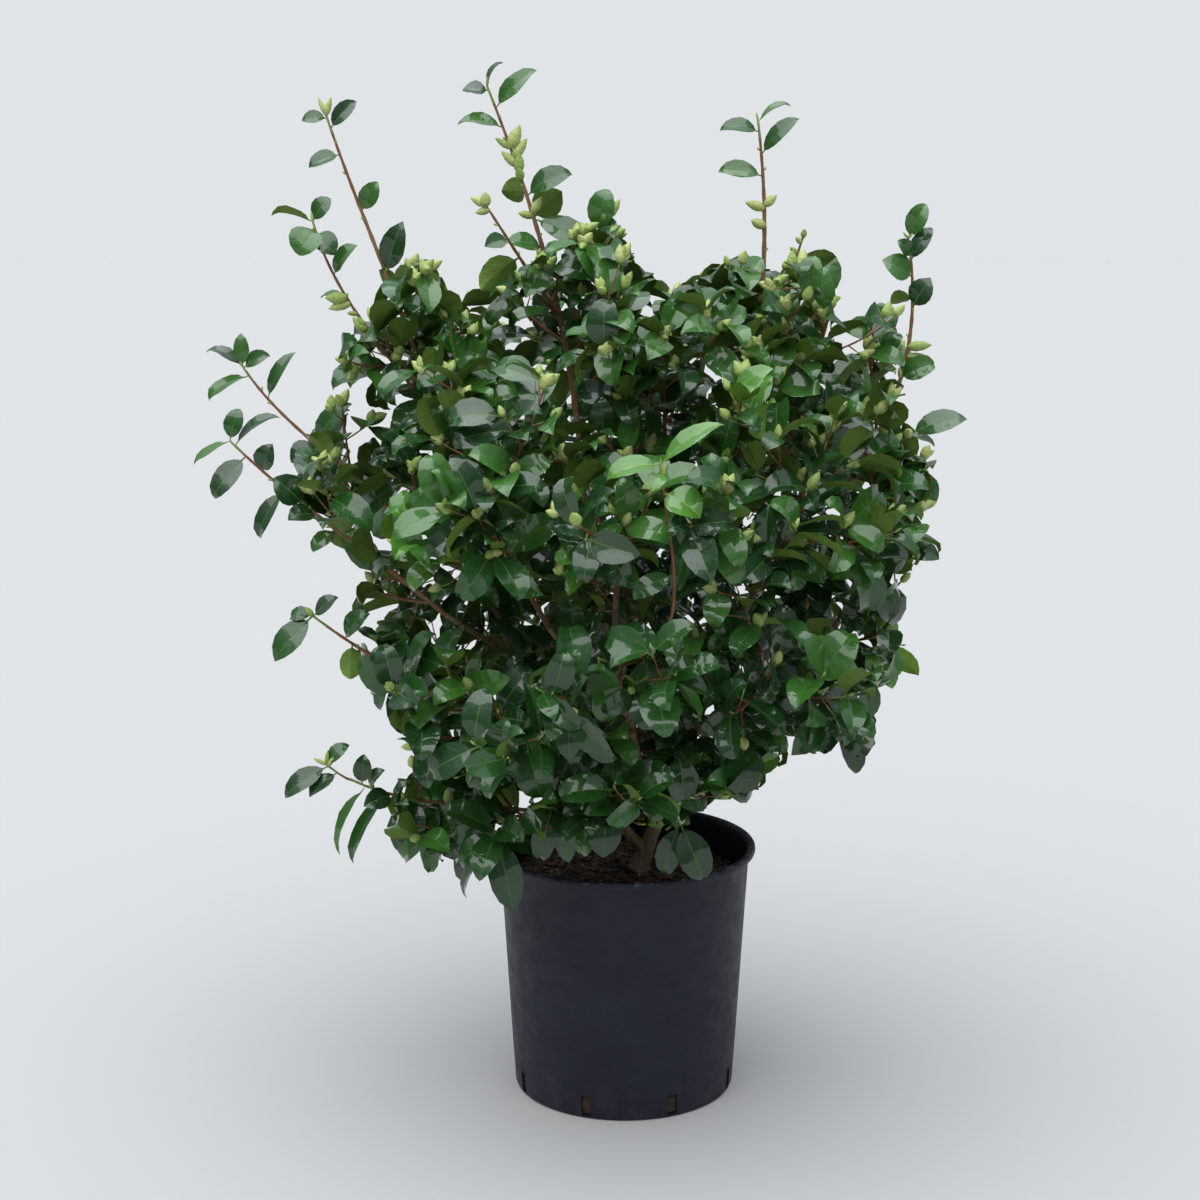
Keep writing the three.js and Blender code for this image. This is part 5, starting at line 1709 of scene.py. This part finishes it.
def make_wood():
    """The trunk, stems and boughs as one wood, with swellings where they part and a bark relief"""
    places, faces, first = [], [], 0
    for name, limb in LIMBS.items():
        length = limb.length()
        shares = np.linspace(0, 1, max(4, int(length / WOOD_RING_GAP)) + 1)
        radii = limb.radii[0] + (limb.radii[1] - limb.radii[0]) * shares
        if name == "trunk":
            radii = radii + ROOT_FLARE * np.exp(-shares * length / FLARE_FADES)
        else:
            radii = radii * (1 + SWELLING * np.exp(-shares * length / SWELLING_FADES))
        tube_places, tube_faces = tube(limb.points(shares), radii, WOOD_SIDES)
        places.append(tube_places)
        faces += [tuple(corner + first for corner in face) for face in tube_faces]
        first += len(tube_places)
    bark = mixed_finish("bark", (0.2, 0.13, 0.075), (0.42, 0.31, 0.2), 22.0, (0.6, 0.85),
                        (3, 3, 0.8), 60.0, 0.0012)
    wood = joined("wood", np.concatenate(places), faces, [0] * len(faces), [bark], 180)
    finish_with(wood, "REMESH", "one_wood", mode="VOXEL", voxel_size=WOOD_VOXEL * MM,
                use_smooth_shade=True)
    finish_with(wood, "SMOOTH", "swept", factor=0.5, iterations=4)
    mesh = wood.data
    places, normals = np.empty((2, len(mesh.vertices) * 3))
    mesh.vertices.foreach_get("co", places)
    mesh.vertices.foreach_get("normal", normals)
    places, normals = places.reshape(-1, 3), normals.reshape(-1, 3)
    relief = [bark_relief(x, y, z) for x, y, z in places]
    places += normals * MM * np.array(relief)[:, None]
    places[:, 2] = np.maximum(places[:, 2], (SOIL_LEVEL - WOOD_SUNK) * MM)
    mesh.vertices.foreach_set("co", places.ravel())
    mesh.update()
    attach(wood, "root")
    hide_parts(*LIMBS)


# The pot's outline from the middle of its foot, up its wall, over its rolled rim and down inside,
# as (height, radius)
POT_PROFILE = ((0, 120), (0, 158), (0.6, 163), (2.6, 166.6), (6, 168), (60, 171.6), (150, 177),
               (240, 182.2), (330, 187.6), (368, 190), (370.4, 191.2), (371.4, 194), (371.2, 196.6),
               (372.2, 199), (374.8, 200), (378.8, 199.6), (381.2, 198), (382, 195.6),
               (381.6, 192.6), (379.8, 190), (375.6, 188), (366, 187), (240, 179.2), (30, 166),
               (6, 164), (4, 150))

# The ledge over each drainage slot and the slot's own cutter: whether it adds or cuts, its size
# out, round and up, the height and radius of its middle, and how far its edges are eased
SLOT_TOOLS = (
    ("UNION", (5, SLOT_WIDTH + 5, 2.4), SLOT_HEIGHT + POT_WALL + 3, POT_FOOT_RADIUS + 0.5, 0.8),
    ("DIFFERENCE", (18, SLOT_WIDTH, SLOT_HEIGHT), SLOT_HEIGHT / 2 + POT_WALL, POT_FOOT_RADIUS, 3))
POT_SHARP_DEGREES = 32


def make_pot():
    """The pot: a turned shell with a rolled rim, drainage slots and a small ledge over each"""
    pot = turned_form("pot_shell", [(z * MM, r * MM) for z, r in POT_PROFILE], POT_SEGMENTS)
    for k in range(SLOT_COUNT):
        turn = math.radians(SLOT_FIRST_DEGREES - 90 + 360 * k / SLOT_COUNT)
        for operation, size, height, out, eased in SLOT_TOOLS:
            bpy.ops.object.select_all(action="DESELECT")
            bpy.ops.mesh.primitive_cube_add(
                size=1, rotation=(0, 0, turn), scale=[side * MM for side in size],
                location=(math.cos(turn) * out * MM, math.sin(turn) * out * MM, height * MM))
            cutter = bpy.context.object
            bpy.ops.object.transform_apply(location=True, rotation=True, scale=True)
            finish_with(cutter, "BEVEL", "eased", width=eased * MM, segments=2)
            finish_with(pot, "BOOLEAN", "slot", operation=operation, object=cutter, solver="EXACT")
            bpy.data.objects.remove(cutter)
    plastic = pot_finish()
    pot.data.materials.clear()
    pot.data.materials.append(plastic)
    only_selected(pot)
    bpy.ops.object.shade_smooth_by_angle(angle=math.radians(POT_SHARP_DEGREES))
    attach(pot, "root")
    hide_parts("pot")


# The wear on the pot: the heights in metres from which and to which it grows, the scale of its
# patches and their least and most, and its colour: scuffs on the rim and dust at the foot
POT_WEAR = (((0.3755, 0.3815), 90.0, -0.9, 0.7, (0.14, 0.15, 0.18)),
            ((0.07, 0.0), 26.0, -0.2, 0.35, (0.06, 0.057, 0.06)))


def pot_finish():
    """Matte navy charcoal plastic, paler and scuffed on the rim, with dust toward its foot"""
    material = mixed_finish("pot_plastic", (0.0055, 0.0065, 0.0165), (0.0095, 0.011, 0.0245), 7.0,
                            (0.42, 0.6), (1, 1, 1.6), 500.0, 0.00015,
                            Specular_IOR_Level=0.32)
    tree = material.node_tree
    shader = tree.nodes["Principled BSDF"]
    last = shader.inputs["Base Color"].links[0].from_socket
    place = add_node(tree, "ShaderNodeTexCoord")
    split = add_node(tree, "ShaderNodeSeparateXYZ", {0: place.outputs["Object"]})
    for (start, end), scale, low, high, colour in POT_WEAR:
        worn = add_node(tree, "ShaderNodeMapRange", {"Value": split.outputs["Z"]},
                        From_Min=start, From_Max=end)
        spots = add_node(tree, "ShaderNodeMath", {0: patches(tree, scale, low, high),
                                                  1: worn.outputs[0]},
                         operation="MULTIPLY", use_clamp=True)
        layer = add_node(tree, "ShaderNodeMix", data_type="RGBA")
        pair = [socket for socket in layer.inputs if socket.type == "RGBA"]
        pair[1].default_value = (*colour, 1)
        tree.links.new(last, pair[0])
        tree.links.new(spots.outputs[0], layer.inputs["Factor"])
        last = [socket for socket in layer.outputs if socket.type == "RGBA"][0]
    tree.links.new(last, shader.inputs["Base Color"])
    return material


# The compost's body below its top as (height, radius), how wide and in what steps its top is, and
# the radius from which it settles, over how much further
COMPOST_WALL = [(8, 120), (8, 164)] + [(z, 166 + (z - 8) / 325 * 13.4) for z in (120, 240, 328)]
COMPOST_RINGS = range(176, 2, -6)
COMPOST_SEGMENTS = 96
COMPOST_SETTLES = (110, 70)
COMPOST_BELOW = 1.5

# What is strewn on it: how many, out to what radius, and for bark chips, crumbs and grit in turn
# the lengths and the thickness as a share of the length
CHIP_COUNT = 900
CHIPS_OUT_TO = 172
CHIP_LENGTHS = ((7, 19), (3, 7), (2, 4.5))
CHIP_THICKNESS = (0.2, 0.7, 0.7)
CHIP_WIDTHS = (0.35, 0.6)
CHIP_CHANCE = 0.62
CRUMB_CHANCE = 0.75
CHIP_UNEVEN = 0.12
CHIP_TILT = 0.7
CHIP_OUTLINE = ((-0.5, -0.35), (0.1, -0.5), (0.5, 0), (0.1, 0.5), (-0.5, 0.3))


def soil_height(x, y):
    """The top of the compost at a place, in millimetres"""
    start, run = COMPOST_SETTLES
    settled = SOIL_SETTLED * max(0.0, (math.hypot(x, y) - start) / run)
    rough = (2.4 * noise.noise(Vector((x / 22, y / 22, 3)))
             + 1.2 * noise.noise(Vector((x / 7, y / 7, 9))))
    return SOIL_LEVEL - COMPOST_BELOW - settled + rough


def make_compost():
    """The filling of the pot, with an uneven top, and bark chips, crumbs and grit strewn on it"""
    profile = COMPOST_WALL + [(SOIL_LEVEL, radius) for radius in COMPOST_RINGS]
    body = turned_form("compost_body", [(z * MM, r * MM) for z, r in profile], COMPOST_SEGMENTS)
    for vertex in body.data.vertices:
        if vertex.co.z > (COMPOST_WALL[-1][0] + 1) * MM:
            vertex.co.z = soil_height(vertex.co.x / MM, vertex.co.y / MM) * MM
    places, faces = mesh_arrays(body)
    places, faces, slots = [places / MM], list(faces), [0] * len(faces)
    first, sides = len(places[0]), len(CHIP_OUTLINE)
    form = np.array([(x, y, z) for z in (-0.5, 0.5) for x, y in CHIP_OUTLINE])
    form_faces = [tuple(range(sides - 1, -1, -1)), tuple(range(sides, 2 * sides))]
    form_faces += [(a, (a + 1) % sides, sides + (a + 1) % sides, sides + a) for a in range(sides)]
    draw = seeded(CHIP_SEED)
    for _ in range(CHIP_COUNT):
        angle, radius = 2 * math.pi * draw(), CHIPS_OUT_TO * math.sqrt(draw())
        kind = 0 if draw() < CHIP_CHANCE else 1 if draw() < CRUMB_CHANCE else 2
        long = within(CHIP_LENGTHS[kind], draw())
        size = np.array((long, long * within(CHIP_WIDTHS, draw()), long * CHIP_THICKNESS[kind]))
        uneven = np.array([draw() for _ in range(form.size)]).reshape(form.shape) - 0.5
        corners = form * size + CHIP_UNEVEN * long * uneven
        turn, tilt = ANY_TURN * draw(), CHIP_TILT * (draw() - 0.5)
        corners = np.array([turned(turned(corner, EAST, tilt), UP, turn) for corner in corners])
        x, y = radius * math.cos(angle), radius * math.sin(angle)
        places.append(corners + (x, y, soil_height(x, y) + size[2] * 0.3))
        faces += [tuple(first + corner for corner in face) for face in form_faces]
        slots += [kind + 1] * len(form_faces)
        first += len(form)
    finishes = [mixed_finish("compost_earth", (0.018, 0.012, 0.008), (0.06, 0.038, 0.022), 90.0,
                             (0.8, 1.0), bump_scale=220.0, bump=0.002),
                plain_finish("compost_bark_chips", (0.1, 0.055, 0.028), (0.6, 0.9), 150.0, 0.001),
                plain_finish("compost_crumbs", (0.03, 0.02, 0.012), (0.8, 1.0)),
                plain_finish("compost_grit", (0.55, 0.53, 0.48), (0.7, 0.9))]
    compost = joined("compost_filling", np.concatenate(places), faces, slots, finishes, 40)
    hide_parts("compost")


# The floor and the light, set until the render's tones came near the photo's. The world
# brightens from its horizon to overhead, by heights and colours there, and the camera sees a plain
# backdrop as pale as the far floor.
FLOOR_SIZE = 40
FLOOR_COLOUR = (0.425, 0.425, 0.42)
LAMP_SPREAD_DEGREES = 85
LAMP_STRENGTH = 3.45
LAMP_COLOUR = (0.98, 0.99, 1.0)
LAMP_TILT_DEGREES = (14, -8, 0)
WORLD_RAMP = ((0.0, (0.12, 0.125, 0.13, 1)), (0.75, (1.5, 1.6, 1.72, 1)),
              (1.0, (2.3, 2.45, 2.6, 1)))
WORLD_STRENGTH = 0.5
BACKDROP_COLOUR = (0.752, 0.778, 0.798, 1)


def make_stage():
    """A wide pale floor, soft light from above and a world that is brighter overhead"""
    bpy.ops.object.select_all(action="DESELECT")
    bpy.ops.mesh.primitive_plane_add(size=FLOOR_SIZE)
    floor = bpy.context.object
    floor.name = "studio_floor"
    floor.data.materials.append(new_finish("studio_floor", FLOOR_COLOUR, Roughness=0.9)[0])

    lamp = bpy.data.lights.new("soft_light", "SUN")
    lamp.angle, lamp.energy = math.radians(LAMP_SPREAD_DEGREES), LAMP_STRENGTH
    lamp.color = LAMP_COLOUR
    soft_light = bpy.data.objects.new("soft_light", lamp)
    soft_light.rotation_euler = [math.radians(tilt) for tilt in LAMP_TILT_DEGREES]
    bpy.context.scene.collection.objects.link(soft_light)

    world = bpy.data.worlds.new("studio")
    bpy.context.scene.world = world
    world.use_nodes = True
    tree = world.node_tree
    tree.nodes.clear()
    way = add_node(tree, "ShaderNodeTexCoord")
    split = add_node(tree, "ShaderNodeSeparateXYZ", {0: way.outputs["Generated"]})
    sky = add_node(tree, "ShaderNodeValToRGB", {0: split.outputs["Z"]})
    steps = sky.color_ramp.elements
    for step, (place, colour) in zip((steps[0], steps[1]), WORLD_RAMP):
        step.color = colour
        step.position = place
    steps.new(WORLD_RAMP[2][0]).color = WORLD_RAMP[2][1]
    seen = add_node(tree, "ShaderNodeLightPath")
    lit = add_node(tree, "ShaderNodeBackground", {"Color": sky.outputs[0]},
                   Strength=WORLD_STRENGTH)
    behind = add_node(tree, "ShaderNodeBackground", Color=BACKDROP_COLOUR, Strength=1.0)
    choose = add_node(tree, "ShaderNodeMixShader", {0: seen.outputs["Is Camera Ray"],
                                                    1: lit.outputs[0], 2: behind.outputs[0]})
    add_node(tree, "ShaderNodeOutputWorld", {0: choose.outputs[0]})

    lens = bpy.data.cameras.new("photo_camera")
    lens.lens, lens.sensor_width = CAMERA_LENS, CAMERA_SENSOR
    camera = bpy.data.objects.new("photo_camera", lens)
    camera.location = CAMERA_PLACE
    camera.rotation_euler = (math.radians(90 - CAMERA_DOWN_DEGREES), 0, 0)
    bpy.context.scene.collection.objects.link(camera)
    bpy.context.scene.camera = camera
    bpy.context.scene.view_settings.view_transform = "Standard"


make_pot()
make_compost()
make_wood()
rods, leaves, buds = dress_crown()
make_twigs(rods)
make_buds(buds)
make_leaves(leaves)
make_stage()
